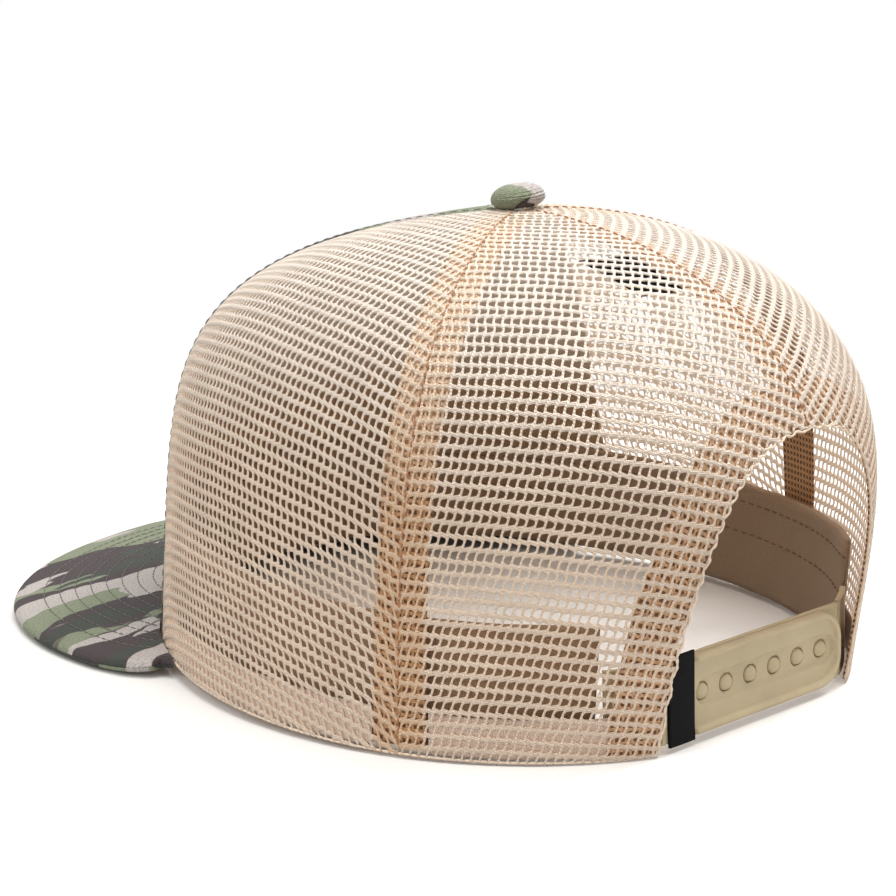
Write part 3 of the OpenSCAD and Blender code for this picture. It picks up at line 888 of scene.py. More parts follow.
@dataclass(frozen=True)
class Lining(Twill):
    """Lining that turns pale towards the top, where light falls on it through the mesh."""

    pale: Colour = WHITE
    glow: float = 0.3
    fades: Tuple[float, float] = (50.0, 108.0)

    def dye(self, bench: NodeBench, cloth: Socket) -> Socket:
        """Colour by the height above the table."""
        return bench.mix(bench.height(*self.fades), self.colour, self.pale)

    def paint(self, bench: NodeBench, shader: Node) -> None:
        """Links the cloth, and what it lets through at the top."""
        super().paint(bench, shader)
        self.light_up(bench, shader, self.pale, bench.height(*self.fades), self.glow)


@dataclass(frozen=True)
class FoldedNet(Twill):
    """Net folded behind a net: pale yarn, with the gaps where its own holes lie painted dark as shade seen
    through them.
    """

    # The gap colour is painted shade seen through the folded net's holes; pale and pale_gap are the painted
    # light at the top
    gap: Colour = BLACK
    pale: Colour = WHITE
    pale_gap: Colour = tint(206, 164, 122)
    pitch: float = 1.5
    row: float = 1.8
    half_yarn: Tuple[float, float] = (0.17, 0.2)
    soft: float = 0.06
    fades: Tuple[float, float] = (60.0, 108.0)

    def dye(self, bench: NodeBench, cloth: Socket) -> Socket:
        """Colour of yarn, and of gaps far from the yarn both ways, painted dark as shade; painted light turns
        both pale towards the top.
        """
        xyz = bench.add("SeparateXYZ", {0: cloth})
        sides = []
        for axis, (pitch, low) in enumerate(zip((self.pitch, self.row), self.half_yarn)):
            step = pitch * MM
            near = bench.math("PINGPONG", xyz.outputs[axis], step / 2)
            sides.append(bench.span(near, low * step, (low + self.soft) * step))
        # Painted light: yarn and gaps turn pale towards the top
        level = bench.height(*self.fades)
        yarn, gap = bench.mix(level, self.colour, self.pale), bench.mix(level, self.gap, self.pale_gap)
        return bench.mix(bench.math("MULTIPLY", *sides), yarn, gap)


@dataclass(frozen=True)
class NetYarn(Finish):
    """Knitted yarn of the mesh: wales, bands of fine yarn lines and fuzz, with painted light and shade.

    Painted light turns the yarn pale towards the top, and painted warm shade lies over the doubled net beside
    the side seams. The flat coordinates are those of the weave before it sways, so a wale lies at every whole
    pitch.
    """

    wale: Colour = WHITE
    # Yarn colour at the top, where painted light turns it pale
    pale: Colour = WHITE
    # Painted warm shade over the doubled net beside a side seam, and its paler form towards the top
    seam: Colour = (0.92, 0.81, 0.69, 1.0)
    seam_top: Colour = (0.99, 0.94, 0.87, 1.0)
    pitch: float = 2.32
    line: float = 0.42
    loop: float = 0.9
    wale_from: float = 0.20
    wale_to: float = 0.34
    uneven: float = 0.14
    seam_half: Tuple[float, float] = (5.8, 7.2)
    fades: Tuple[float, float] = (60.0, 112.0)
    glow: float = 0.3

    def paint(self, bench: NodeBench, shader: Node) -> None:
        """Links wales by the distance to the nearest one and lines by the sine of the flat height."""
        xyz = bench.add("SeparateXYZ", {0: bench.cloth()})
        near = bench.math("PINGPONG", xyz.outputs[0], self.pitch * MM / 2)
        wale = bench.span(near, self.wale_from * MM, self.wale_to * MM, 1.0, 0.0)
        turn = bench.math("MULTIPLY", xyz.outputs[1], 2 * math.pi / (self.line * MM))
        twist = bench.math("MULTIPLY_ADD", xyz.outputs[0], 2 * math.pi / (self.loop * MM), turn)
        lines = bench.math("SINE", turn)
        loops = bench.math("SINE", bench.math("MULTIPLY", twist, 0.5))
        fibre = bench.effect(GROUPS.fibre, {"Place": bench.place(), "Amount": self.uneven})
        streak = bench.add("Mix", {0: wale, 2: bench.span(lines, -1.0, 0.5, 0.80, 1.05),
                                   3: bench.span(loops, -1.0, 0.5, 0.86, 1.03)}).outputs[0]
        shade = bench.math("MULTIPLY", fibre.outputs["Shade"], streak)
        # Painted light: the yarn turns pale towards the top
        level = bench.height(*self.fades)
        yarn = bench.mix(level, bench.mix(wale, self.colour, self.wale), self.pale)
        # Painted warm shade over the doubled net beside the side seams, paler towards the top
        seam_shade = bench.mix(level, self.seam, self.seam_top)
        yarn = bench.mix(self.beside_seam(bench), yarn, seam_shade, "MULTIPLY")
        self.shade(bench, shader, yarn, shade)
        self.let_through(bench, shader)
        height = bench.add("Mix", {0: wale, 2: lines, 3: loops}).outputs[0]
        self.bump(bench, shader, bench.math("MULTIPLY_ADD", fibre.outputs["Height"], 0.5, height), 0.07)

    def beside_seam(self, bench: NodeBench) -> Socket:
        """Share of the painted warm shade: 1 over the doubled net of a side seam, 0 away from it.

        The seam lies in an upright plane through the crown's axis, which moves back with height squared.
        """
        east, north = unit(FORM.outline(SIDE_SEAM(0.0))).tolist()
        place = bench.add("SeparateXYZ", {0: bench.place()})
        square = bench.math("POWER", place.outputs[2], 2.0)
        moved = -FORM.apex_back * MM / (FORM.height * MM) ** 2
        back = bench.math("MULTIPLY_ADD", square, moved, place.outputs[1])
        side = bench.math("MULTIPLY", bench.math("ABSOLUTE", place.outputs[0]), north)
        off = bench.math("ABSOLUTE", bench.math("MULTIPLY_ADD", back, -east, side))
        near, far = self.seam_half
        return bench.span(off, near * MM, far * MM, 1.0, 0.0)

    def let_through(self, bench: NodeBench, shader: Node) -> None:
        """Lights the yarn's inner side, where its normal points into the cap, as thin yarn lets light in."""
        place = bench.add("TexCoord")
        spot, out = place.outputs["Object"], place.outputs["Normal"]
        away = bench.add("VectorMath", {0: spot, 1: (0.0, 0.01, 0.03)}, operation="SUBTRACT").outputs[0]
        facing = bench.add("VectorMath", {0: out, 1: away}, operation="DOT_PRODUCT").outputs["Value"]
        self.light_up(bench, shader, self.colour, bench.span(facing, -0.04, 0.0, 1.0, 0.0), self.glow)


@dataclass(frozen=True)
class Moulded(Finish):
    """Moulded plastic with a fine eroded grain and faint flow marks."""

    def paint(self, bench: NodeBench, shader: Node) -> None:
        """Links the grain to bump and roughness and the flow marks to colour."""
        grain = bench.noise(bench.place(), scale=3200.0, detail=2.0, rough=0.6)
        flow = bench.noise(bench.place(), scale=90.0, detail=3.0, rough=0.55)
        self.shade(bench, shader, self.colour, bench.span(flow, 0.3, 0.7, 0.93, 1.05))
        rough = bench.span(grain, 0.3, 0.7, self.rough - 0.08, self.rough + 0.08)
        bench.link(rough, shader.inputs["Roughness"])
        self.bump(bench, shader, grain, 0.04)


@dataclass(frozen=True)
class Stamped(Finish):
    """Plain stamped metal with fine scratches."""

    def paint(self, bench: NodeBench, shader: Node) -> None:
        """Sets the metal and links scratched roughness."""
        shader.inputs["Metallic"].default_value = 1.0
        mark = bench.noise(bench.place(), scale=1500.0, detail=4.0, rough=0.7)
        self.shade(bench, shader, self.colour, bench.span(mark, 0.3, 0.7, 0.9, 1.05))
        bench.link(bench.span(mark, 0.3, 0.7, self.rough, self.rough + 0.2), shader.inputs["Roughness"])


CAMO = Camo("camo twill", "camo_cloth", tint(138, 145, 119), rough=0.85, sheen=0.05)
NET = NetYarn(
    "net yarn", "mesh", tint(233, 210, 187), rough=0.6, sheen=0.1,
    wale=tint(230, 205, 180), pale=tint(241, 228, 214),
)
FOLD = FoldedNet(
    "folded net", "hem_cloth", tint(221, 179, 138), rough=0.8, sheen=0.1, threads=620.0, depth=0.2,
    gap=tint(120, 82, 50), pale=tint(240, 213, 184),
)
SEAM_FOLD = FoldedNet(
    "seam allowance", "hem_cloth", tint(205, 158, 112), rough=0.8, sheen=0.1, threads=620.0, depth=0.2,
    gap=tint(106, 70, 40), pale=tint(248, 226, 202),
)
HEM = Twill("hem tape", "hem_cloth", tint(234, 214, 198), rough=0.8, sheen=0.2, threads=1100.0, depth=0.1)
TAPE = Twill("brown tape", "tape", tint(160, 130, 100), rough=0.85, sheen=0.2, threads=1000.0, depth=0.14)
BAND = Twill(
    "sweatband twill", "tape", tint(164, 134, 104), rough=0.85, sheen=0.25, threads=1300.0, depth=0.14
)
LINING = Lining(
    "front lining", "tape", tint(180, 148, 114), rough=0.9, sheen=0.1, threads=900.0, depth=0.14,
    pale=tint(222, 210, 194),
)
SNAP = Moulded("snap plastic", "snap_plastic", tint(200, 182, 146), rough=0.5)
LABEL = MattTwill(
    "black label", "label_cloth", tint(20, 19, 20), rough=0.85, sheen=0.03, threads=2200.0, depth=0.06
)
PALE_THREAD = Finish("pale thread", "mesh", tint(234, 212, 188), rough=0.7)
SEAM_THREAD = Finish("seam thread", "hem_cloth", tint(178, 124, 80), rough=0.7)
GREY_THREAD = Finish("grey thread", "camo_cloth", tint(112, 106, 99), rough=0.75)
BROWN_THREAD = Finish("brown thread", "tape", tint(120, 96, 72), rough=0.7)
# The board's dark colour is painted shade where it shows at the visor's ends beside the crown
BOARD = Moulded("visor board", "board", tint(66, 63, 58), rough=0.7)
METAL = Stamped("button metal", "button_metal", tint(205, 204, 200), rough=0.3)


def dress(
    piece: Piece,
    finish: Finish,
    body: Body,
    nodes: Sequence[str] = (),
) -> Piece:
    """Gives a piece its finish, its body and the nodes that it stands for.

    Args:
        piece: the object.
        finish: its finish.
        body: the body that it rides on.
        nodes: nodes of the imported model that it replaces.

    Returns:
        The piece.
    """
    piece.data.materials.clear()
    piece.data.materials.append(finish.make())
    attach(piece, body.value)
    if nodes:
        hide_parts(*nodes)
    LOG.info("%s: %d faces on %s", piece.name, len(piece.data.polygons), body.value)
    return piece


def cut(
    width: float,
    length: float,
    area: Optional[float] = None,
    held: str = "stretched",
    rests: Sequence[str] = (),
) -> dict:
    words = {"flat": (width * MM, length * MM), "held": held, "rests_on": list(rests)}
    if area is not None:
        words["area"] = min(area * MM * MM, width * length * MM * MM)
    return words


# Sub-assemblies


@dataclass(frozen=True)
class NetWeave:
    """Warp-knit net: swaying wales with bands of laid-in yarn between them.

    Eight lines of points make a pair of rows: a thick band, its holes, a thin band, its holes. Four lines
    make a wale and its gap. The tables give for each line the sway of the wales, their half width, and the
    half thickness of yarn. Bands slant from wale to wale, one way in the thick ones and the other way in the
    thin ones.
    """

    pitch: float = 2.32
    row: float = 2.9
    thick_band: float = 1.25
    thin_band: float = 1.1
    sway: float = 0.27
    slant: float = 0.2

    def lattice(self, low: Tuple[float, float], high: Tuple[float, float]) -> Tuple[Array, ...]:
        """Lays the net over a flat rectangle.

        Args:
            low: lowest coordinates across and up.
            high: highest coordinates.

        Returns:
            Place of the points across and up, the same before sway and slant, half thickness, and which
            quads are cloth.
        """
        n = int(math.ceil((high[0] - low[0]) / self.pitch)) + 2
        m = int(math.ceil((high[1] - low[1]) / (2 * self.row))) + 2
        i, j = np.arange(8 * m + 1), np.arange(4 * n + 1)
        r, c = (i % 8)[:, None], (j % 4)[None, :]
        pair = [
            start + share * band + rest * (self.row - band)
            for start, band in ((0.0, self.thick_band), (self.row, self.thin_band))
            for share, rest in ((0, 0), (0.5, 0), (1, 0), (1, 0.5))
        ]
        lines = np.array(pair)
        sway = self.sway * np.array([-0.75, 0, 0.75, 1, 0.75, 0, -0.75, -1])
        half = np.tile([0.35, 0.31, 0.35, 0.27], 2)
        slant = self.slant * np.array([1, 1, 1, 0, -1, -1, -1, 0])
        share, side = np.array([0, 0, 0.5, 1.0]), np.array([0, 1, 0, -1])
        start = self.pitch * math.floor(low[0] / self.pitch - 1)
        plain_u = start + (j // 4) * self.pitch + share[c] * self.pitch + side[c] * half[r]
        plain_v = low[1] - self.row + ((i // 8) * 2 * self.row)[:, None] + lines[r] + 0 * c
        bow = np.tile([0.03, 0, -0.03, 0], 2)
        u = plain_u + sway[r]
        v = plain_v - slant[r] * side[c] + bow[r] * (c == 2)
        # Slow and quick waves make the net uneven
        u = u + 0.10 * np.sin(v / 7.3 + 0.05 * u) + 0.06 * np.sin(v / 2.9 + u / 5.1)
        v = v + 0.09 * np.sin(u / 6.1 + 0.03 * v) + 0.05 * np.sin(u / 2.3 + v / 11.0)
        wale = np.tile([0.20, 0.23, 0.20, 0.18], 2)
        rim = np.array([0.15, 0.24, 0.15, 0.11, 0.15, 0.22, 0.15, 0.11])
        gap = np.array([0.13, 0.25, 0.13, 0.12, 0.13, 0.22, 0.13, 0.12])
        thick = np.where(c == 0, wale[r], np.where(c == 2, gap[r], rim[r]))
        hole = np.isin(i[:-1] % 8, (2, 3, 6, 7))[:, None] & np.isin(j[:-1] % 4, (1, 2))[None, :]
        return u, v, np.stack([plain_u, plain_v], -1), thick, ~hole


@dataclass
class Crown:
    """Cloth front, mesh panels, their seams, hems and the border of the rear opening."""

    weave: NetWeave = field(default_factory=NetWeave)
    net_depth: float = 0.32
    tape_depth: float = 0.75
    tape_thick: float = 0.5
    side_half: float = 7.0
    back_half: float = 6.0
    front_half: float = 6.0
    tape_start: float = 0.012
    tape_stop: float = 13.0
    arch_width: float = 11.0
    arch_inset: float = 0.3
    hem_start: float = 1.0
    hem_height: float = 11.0
    cloth_start: float = 0.004
    front_grid: Tuple[int, int] = (110, 90)
    front_thick: float = 0.7
    lining_grid: Tuple[int, int] = (70, 60)
    lining_depth: float = 2.0
    lining_thick: float = 1.1
    lining_inset: float = 0.01
    lining_top: float = 0.10
    lining_length: float = 0.92
    lining_area: float = 0.97
    front_tape_depth: float = 1.35
    side_hem_ends: Tuple[float, float] = (1.5, 22.0)
    rear_hem_ends: Tuple[float, float] = (31.0, 58.8)
    hem_depth: float = 0.95
    hem_thick: float = 0.45
    hem_wave: float = 0.12
    hem_waves: float = 46.0
    cord_radius: float = 0.33
    cord_swell: float = 0.2
    cord_tip: float = 0.03
    cord_loop: float = 1.9
    cord_depth: float = 0.4
    hem_cord_depth: float = 0.45
    hem_cord_step: float = 0.0016
    hem_cord_start: float = 0.4
    hem_cord_end: float = 61.8
    arch_cord: float = -0.2
    arch_wave: float = 0.28
    arch_loops: float = 80.0
    seam_rows: Tuple[float, float] = (0.01, 0.965)
    front_rows: Tuple[float, float] = (0.01, 0.95)
    arch_row_gap: float = 0.01
    seam_row_depth: float = 0.1
    front_row_gap: float = 3.0
    label_heights: Tuple[float, float] = (107.8, 114.4)
    label_sides: Tuple[float, float] = (17.0, -1.0)
    label_flat: Tuple[float, float] = (18.0, 19.0)
    label_depths: Tuple[float, float] = (2.3, 2.7)

    def net(self, gore: Gore, arch: bool = False) -> Surface:
        """Net laid on a gore and trimmed to its edges.

        Points beyond a seam, below the hem or inside the rear opening move onto that edge, and quads that lie
        wholly beyond are left out, so every edge is a clean line through the weave.

        Args:
            gore: the flat cut.
            arch: whether the rear opening is cut out of it.

        Returns:
            The surface.
        """
        box = np.array([
            gore.turned(u, v, True)
            for u in (gore.edge_u[Edge.FIRST].min(), gore.edge_u[Edge.LAST].max())
            for v in (float(gore.hem_v.min()), gore.height)
        ])
        a, b, plain, thick, keep = self.weave.lattice(tuple(box.min(0)), tuple(box.max(0)))
        u, v = gore.turned(a, b)
        v_in = np.clip(v, gore.v[0], gore.height)
        u, inside = gore.trim(u, v_in)
        p, t, above = gore.place(u, v_in)
        inside &= (above > 0) & (v < gore.height)
        if arch:
            p, t, clear = self.trim_arch(p, t)
            inside &= clear
        some = inside[:-1, :-1] | inside[:-1, 1:] | inside[1:, 1:] | inside[1:, :-1]
        out, face = FORM.normal(p, t), FORM.point(p, FORM.rise(t))
        layers = [face - (self.net_depth + side * thick)[..., None] * out for side in (-1, 1)]
        cloth = shell(*layers, plain, keep & some)
        cross = np.cross(face[1:, 1:] - face[:-1, :-1], face[1:, :-1] - face[:-1, 1:])
        cloth.area = float((np.linalg.norm(cross, axis=-1) / 2)[some].sum())
        return cloth

    @staticmethod
    def trim_arch(p: Array, t: Array) -> Tuple[Array, Array, Array]:
        """Moves points inside the rear opening onto its edge.

        Args:
            p: plan angles.
            t: steps.

        Returns:
            Plan angles, steps, and whether each point was in place.
        """
        x, z = FORM.point(p, FORM.rise(t))[..., 0], FORM.rise(t) * FORM.height
        grow = ARCH.scale(x, z)
        clear = grow > 1
        factor = np.where(clear, 1.0, 1 / np.maximum(grow, 0.05))
        far = np.minimum(z * factor / FORM.height, 0.98)
        return np.where(clear, p, FORM.angle(x * factor, far)), np.where(clear, t, FORM.step(far)), clear

    @staticmethod
    def pair(
        surface: Surface, name: str, finish: Finish, node: str, flat: Sequence[float], rests: str
    ) -> None:
        """Builds a sheet on the left and its mirror image on the right; a star in a name stands for the side.

        Args:
            surface: the left sheet.
            name: name of the piece.
            finish: its finish.
            node: the node that it replaces.
            flat: width, length and perhaps area of the flat cut; not used.
            rests: the piece that it rests on; not used.
        """
        for side, part in (("left", surface), ("right", surface.mirrored())):
            dress(part.build(name.replace("*", side)), finish, Body.CROWN, [node.replace("*", side)])

    def mesh_panels(self) -> None:
        """Builds the four mesh panels; the right ones mirror the left."""
        for part, gore, arch in (("side", SIDE_GORE, False), ("rear", REAR_GORE, True)):
            net = self.net(gore, arch)
            flat = (*gore.flat, net.area)
            self.pair(net, f"*_{part}_net", NET, f"*_{part}_panel", flat, "sweatband_sleeve")

    def cloth(
        self,
        gore: Gore,
        size: Tuple[int, int],
        depth: float,
        thick: float,
        inset: float = 0.0,
        top: float = 0.0,
    ) -> Surface:
        """Plain sheet on a gore.

        The sheet's rows are even steps from hem to button and its columns even shares between the seams.

        Args:
            gore: the flat cut.
            size: rows and columns.
            depth: depth of its outer face.
            thick: thickness.
            inset: share of the half width left free at both seams.
            top: share of the height left free at the button.

        Returns:
            The surface.
        """
        tau = np.linspace(self.cloth_start, 1 - top, size[0])[:, None]
        k = np.linspace(-1 + inset, 1 - inset, size[1])[None, :]
        p = gore.angle(k, tau)
        t = tau * FORM.top(p, FORM.hole)
        row = np.linspace(0, len(gore.v) - 1, len(gore.tau)).astype(int)
        width = np.interp(tau, gore.tau, gore.edge_u[Edge.LAST][row])
        uv = np.stack(np.broadcast_arrays(k * width, tau * gore.height), -1)
        return shell(FORM.lay(p, t, depth), FORM.lay(p, t, depth + thick), uv)

    def front(self) -> None:
        """Builds the printed front and its stiff lining, which laps past the seams inside."""
        sheet = self.cloth(FRONT_GORE, self.front_grid, 0.0, self.front_thick)
        dress(sheet.build("front_cloth"), CAMO, Body.CROWN, ["front_panel"])
        place = (self.lining_depth, self.lining_thick, self.lining_inset, self.lining_top)
        sheet = self.cloth(LINING_GORE, self.lining_grid, *place)
        dress(sheet.build("front_lining"), LINING, Body.CROWN, ["front_backing"])

    @staticmethod
    def ribbon(path: Tuple[Array, Array], side: Tuple[Array, Array], depth: float, thick: float) -> Surface:
        """Tape between two lines on the crown.

        Args:
            path: plan angle and step along the first edge.
            side: plan angle and step along the other edge.
            depth: depth of its outer face.
            thick: thickness.

        Returns:
            The surface, six quads across.
        """
        f = np.linspace(0, 1, 7)[None, :]
        p = path[0][:, None] * (1 - f) + side[0][:, None] * f
        t = path[1][:, None] * (1 - f) + side[1][:, None] * f
        outer = FORM.lay(p, t, depth)
        run = run_of(outer[:, 3])
        wide = np.linalg.norm(outer[:, -1] - outer[:, 0], axis=1)
        uv = np.stack(np.broadcast_arrays(f * wide[:, None], run[:, None]), -1)
        return shell(outer, FORM.lay(p, t, depth + thick), uv)

    @staticmethod
    def degrees(p: Array, t: Array, width: float) -> Array:
        """Change of plan angle that takes a width across at the step t."""
        z = FORM.rise(t)
        return width / np.linalg.norm(FORM.point(p + 0.5, z) - FORM.point(p - 0.5, z), axis=-1)

    def seam_tape(self, seam: Curve, low: float, half: float, depth: float) -> Tuple[Surface, float]:
        """Tape along a seam.

        Args:
            seam: plan angle as a function of the step.
            low: lowest step.
            half: half the tape's width.
            depth: depth of its outer face.

        Returns:
            The surface and the tape's length.
        """
        top = float(FORM.top(seam(np.array([0.9]))[0], self.tape_stop))
        t = np.linspace(low, top, 110)
        p = seam(t)
        wide = self.degrees(p, t, half)
        length = float(run_of(FORM.point(p, FORM.rise(t)))[-1])
        return self.ribbon((p - wide, t), (p + wide, t), depth, self.tape_thick), length

    def seam_tapes(self) -> None:
        """Builds the tapes inside the front, side and centre-back seams and round the rear opening."""
        for seam, label, half, finish, depth in (
            (front_seam, "front", self.front_half, TAPE, self.front_tape_depth),
            (SIDE_SEAM, "side", self.side_half, SEAM_FOLD, self.tape_depth),
        ):
            tape, length = self.seam_tape(seam, self.tape_start, half, depth)
            name, flat = f"{label}_*", (2 * half, length)
            self.pair(tape, f"{name}_tape", finish, f"{name}_seam_tape", flat, "*_side_net")
        low = float(FORM.step((ARCH.height + self.arch_width) / FORM.height))
        tape, length = self.seam_tape(BACK_SEAM, low, self.back_half, self.tape_depth)
        flat = cut(2 * self.back_half, length, rests=["left_rear_net"])
        dress(tape.build("back_tape"), FOLD, Body.CROWN, ["rear_center_seam_tape"])
        a = ARCH.sweep(180)
        outer, inner = (ARCH.ring(a, grow) for grow in (self.arch_width, self.arch_inset))
        border = self.ribbon(outer, inner, self.tape_depth, self.tape_thick)
        middle = sum(FORM.point(p, FORM.rise(t)) for p, t in (outer, inner)) / 2
        length = float(run_of(middle)[-1])
        flat = cut(self.arch_width, length, rests=["left_rear_net"])
        dress(border.build("arch_border"), FOLD, Body.CROWN, ["arch_binding"])

    def hem_tapes(self) -> None:
        """Builds the pale tapes inside the hem, between the seams."""
        seam = float(front_seam(0.0))
        spans = {"side": (seam + self.side_hem_ends[0], self.side_hem_ends[1]), "rear": self.rear_hem_ends}
        low, high = (FORM.step(z / FORM.height) for z in (self.hem_start, self.hem_height))
        f = np.linspace(0, 1, 9)[:, None]
        for part, (first, last) in spans.items():
            p = np.linspace(first, last, 60)
            t = low + (high - low) * f + 0 * p
            depth = self.hem_depth + self.hem_wave * np.sin(np.radians(p) * self.hem_waves) * f
            run = run_of(FORM.point(p, 0 * p))
            uv = np.stack(np.broadcast_arrays(run[None, :], f * self.hem_height), -1)
            p = np.broadcast_to(p, t.shape)
            tape = shell(FORM.lay(p, t, depth), FORM.lay(p, t, depth + self.hem_thick), uv)
            flat = (self.hem_height, float(run[-1]))
            self.pair(tape, f"*_{part}_hem", HEM, f"*_{part}_hem_tape", flat, f"*_{part}_net")

    def edge_cord(self, path: Array, across: Tuple[float, float, float]) -> Surface:
        """Thin overlocked cord along an edge; its radius swells a little at every loop.

        Args:
            path: points along the edge.
            across: a direction that isn't along the path anywhere.

        Returns:
            The surface.
        """
        loop = np.sin(2 * np.pi * run_of(path) / self.cord_loop)
        radius = self.cord_radius * (1 + self.cord_swell * loop)
        radius[[0, -1]] = self.cord_tip
        return tubes(path[None], radius, np.array([across]), 8)

    def stitching(self) -> None:
        """Builds seam stitches, the cords at hem and opening, and rows beside the front seams."""
        t = np.linspace(*self.seam_rows, 300)
        lines = []
        over = FORM.step(ARCH.height / FORM.height) + self.arch_row_gap
        for seam, low in ((SIDE_SEAM, 0.0), (BACK_SEAM, over)):
            on = t[t > low]
            p = seam(on)
            lines.append(SEAM_STITCH.row(FORM.lay(p, on, self.seam_row_depth), FORM.normal(p, on)))
        side, back = lines
        dress(side.joined(side.mirrored(), back).build("seam_stitches"), SEAM_THREAD, Body.CROWN)
        p = np.linspace(float(front_seam(0.0)) + self.hem_cord_start, self.hem_cord_end, 560)
        low = FORM.lay(p, np.full_like(p, self.hem_cord_step), self.hem_cord_depth)
        hem = self.edge_cord(low, (0.0, 0.0, 1.0))
        turn = ARCH.sweep(900)
        wave = self.arch_wave * np.sin(turn * self.arch_loops)
        angle, step = ARCH.ring(turn, self.arch_cord + wave)
        arch = self.edge_cord(FORM.lay(angle, step, self.cord_depth), (0.0, 1.0, 0.0))
        edge = hem.joined(hem.mirrored(), arch)
        dress(edge.build("edge_cords"), PALE_THREAD, Body.CROWN)
        t = np.linspace(*self.front_rows, 300)
        p = front_seam(t)
        p = p - self.degrees(p, t, self.front_row_gap)
        row = FRONT_STITCH.row(FORM.lay(p, t, 0.0), FORM.normal(p, t))
        dress(row.joined(row.mirrored()).build("front_seam_stitches"), GREY_THREAD, Body.CROWN)

    def inner_label(self) -> None:
        """Builds the bare label under the top, beside the centre-back seam."""
        width, length = self.label_flat
        count = 24
        z = np.linspace(*self.label_heights, count)[:, None] / FORM.height
        x, z = (v.copy() for v in np.broadcast_arrays(np.linspace(*self.label_sides, count)[None, :], z))
        p, t = FORM.angle(x, z), FORM.step(z)
        uv = np.stack([-x, np.broadcast_to(np.linspace(0, length, count)[:, None], x.shape)], -1)
        sheet = shell(*(FORM.lay(p, t, depth) for depth in self.label_depths), uv)
        dress(sheet.build("top_label"), LABEL, Body.CROWN, ["inner_label"])

    def build(self) -> None:
        """Builds the whole crown."""
        self.front()
        self.mesh_panels()
        self.seam_tapes()
        self.hem_tapes()
        self.stitching()
        self.inner_label()


@dataclass
class Sweatband:
    """Folded sleeve inside the hem with two rows of stitches."""

    depth: float = 3.95
    thick: float = 2.1
    low: float = 1.3
    high: float = 33.5
    end: float = 55.9
    puff: float = 0.22
    skin: float = 0.45
    ripple: float = 0.10
    ripples: float = 31.0
    ripple_lean: float = 0.25
    ease: float = 0.15
    least_half: float = 0.04
    tail: float = 3.0
    fill: float = 0.3
    row_ease: float = 0.13
    rows_below_fold: Tuple[float, float] = (5.0, 14.5)

    def swell(self, height: Array) -> Array:
        """How far the padding pushes a wall out at a height: a sine from the hem to the fold."""
        share = np.clip((height - self.low) / (self.high - self.low), 0, 1)
        return self.puff * np.sin(share * np.pi)

    def build(self) -> None:
        """Sweeps the sleeve's section, two walls joined by a round fold, along the hem."""
        p = np.linspace(-180 - self.end, self.end, 260)
        turn = np.linspace(0, np.pi, 13)
        radius = self.thick / 2
        rise = np.linspace(self.low, self.high - radius, 20)
        flat = np.concatenate([-np.ones(20), -np.cos(turn), np.ones(20)])[:, None]
        height = np.concatenate([rise, self.high - radius + radius * np.sin(turn), rise[::-1]])[:, None]
        middle = self.depth + radius
        taper = np.sqrt(np.clip(np.minimum(p - p[0], p[-1] - p) / self.tail, 0, 1))
        ripple = self.ripple * np.sin(np.radians(p) * self.ripples + self.ripple_lean * height)
        t = FORM.step(height / FORM.height) + 0 * p
        grids = []
        for skin in (0.0, self.skin):
            half = (radius + self.swell(height)) * taper + self.ease - skin
            half = np.maximum(half, self.least_half)
            grids.append(FORM.lay(np.broadcast_to(p, t.shape), t, middle + flat * half + ripple))
        uv = np.stack(np.meshgrid(run_of(grids[0][0]), run_of(grids[0][:, 0])), -1)
        piece = shell(grids[0], grids[1], uv).build("sweatband_sleeve")
        dress(piece, BAND, Body.CROWN, ["sweatband", "sweatband_core"])
        rows = []
        for below in self.rows_below_fold:
            h = self.high - below
            t = np.full_like(p, FORM.step(h / FORM.height))
            at = FORM.lay(p, t, middle + (radius + self.swell(h)) * taper + self.row_ease)
            rows.append(BAND_STITCH.row(at, -FORM.normal(p, t)))
        dress(rows[0].joined(rows[1]).build("sweatband_stitches"), BROWN_THREAD, Body.CROWN)


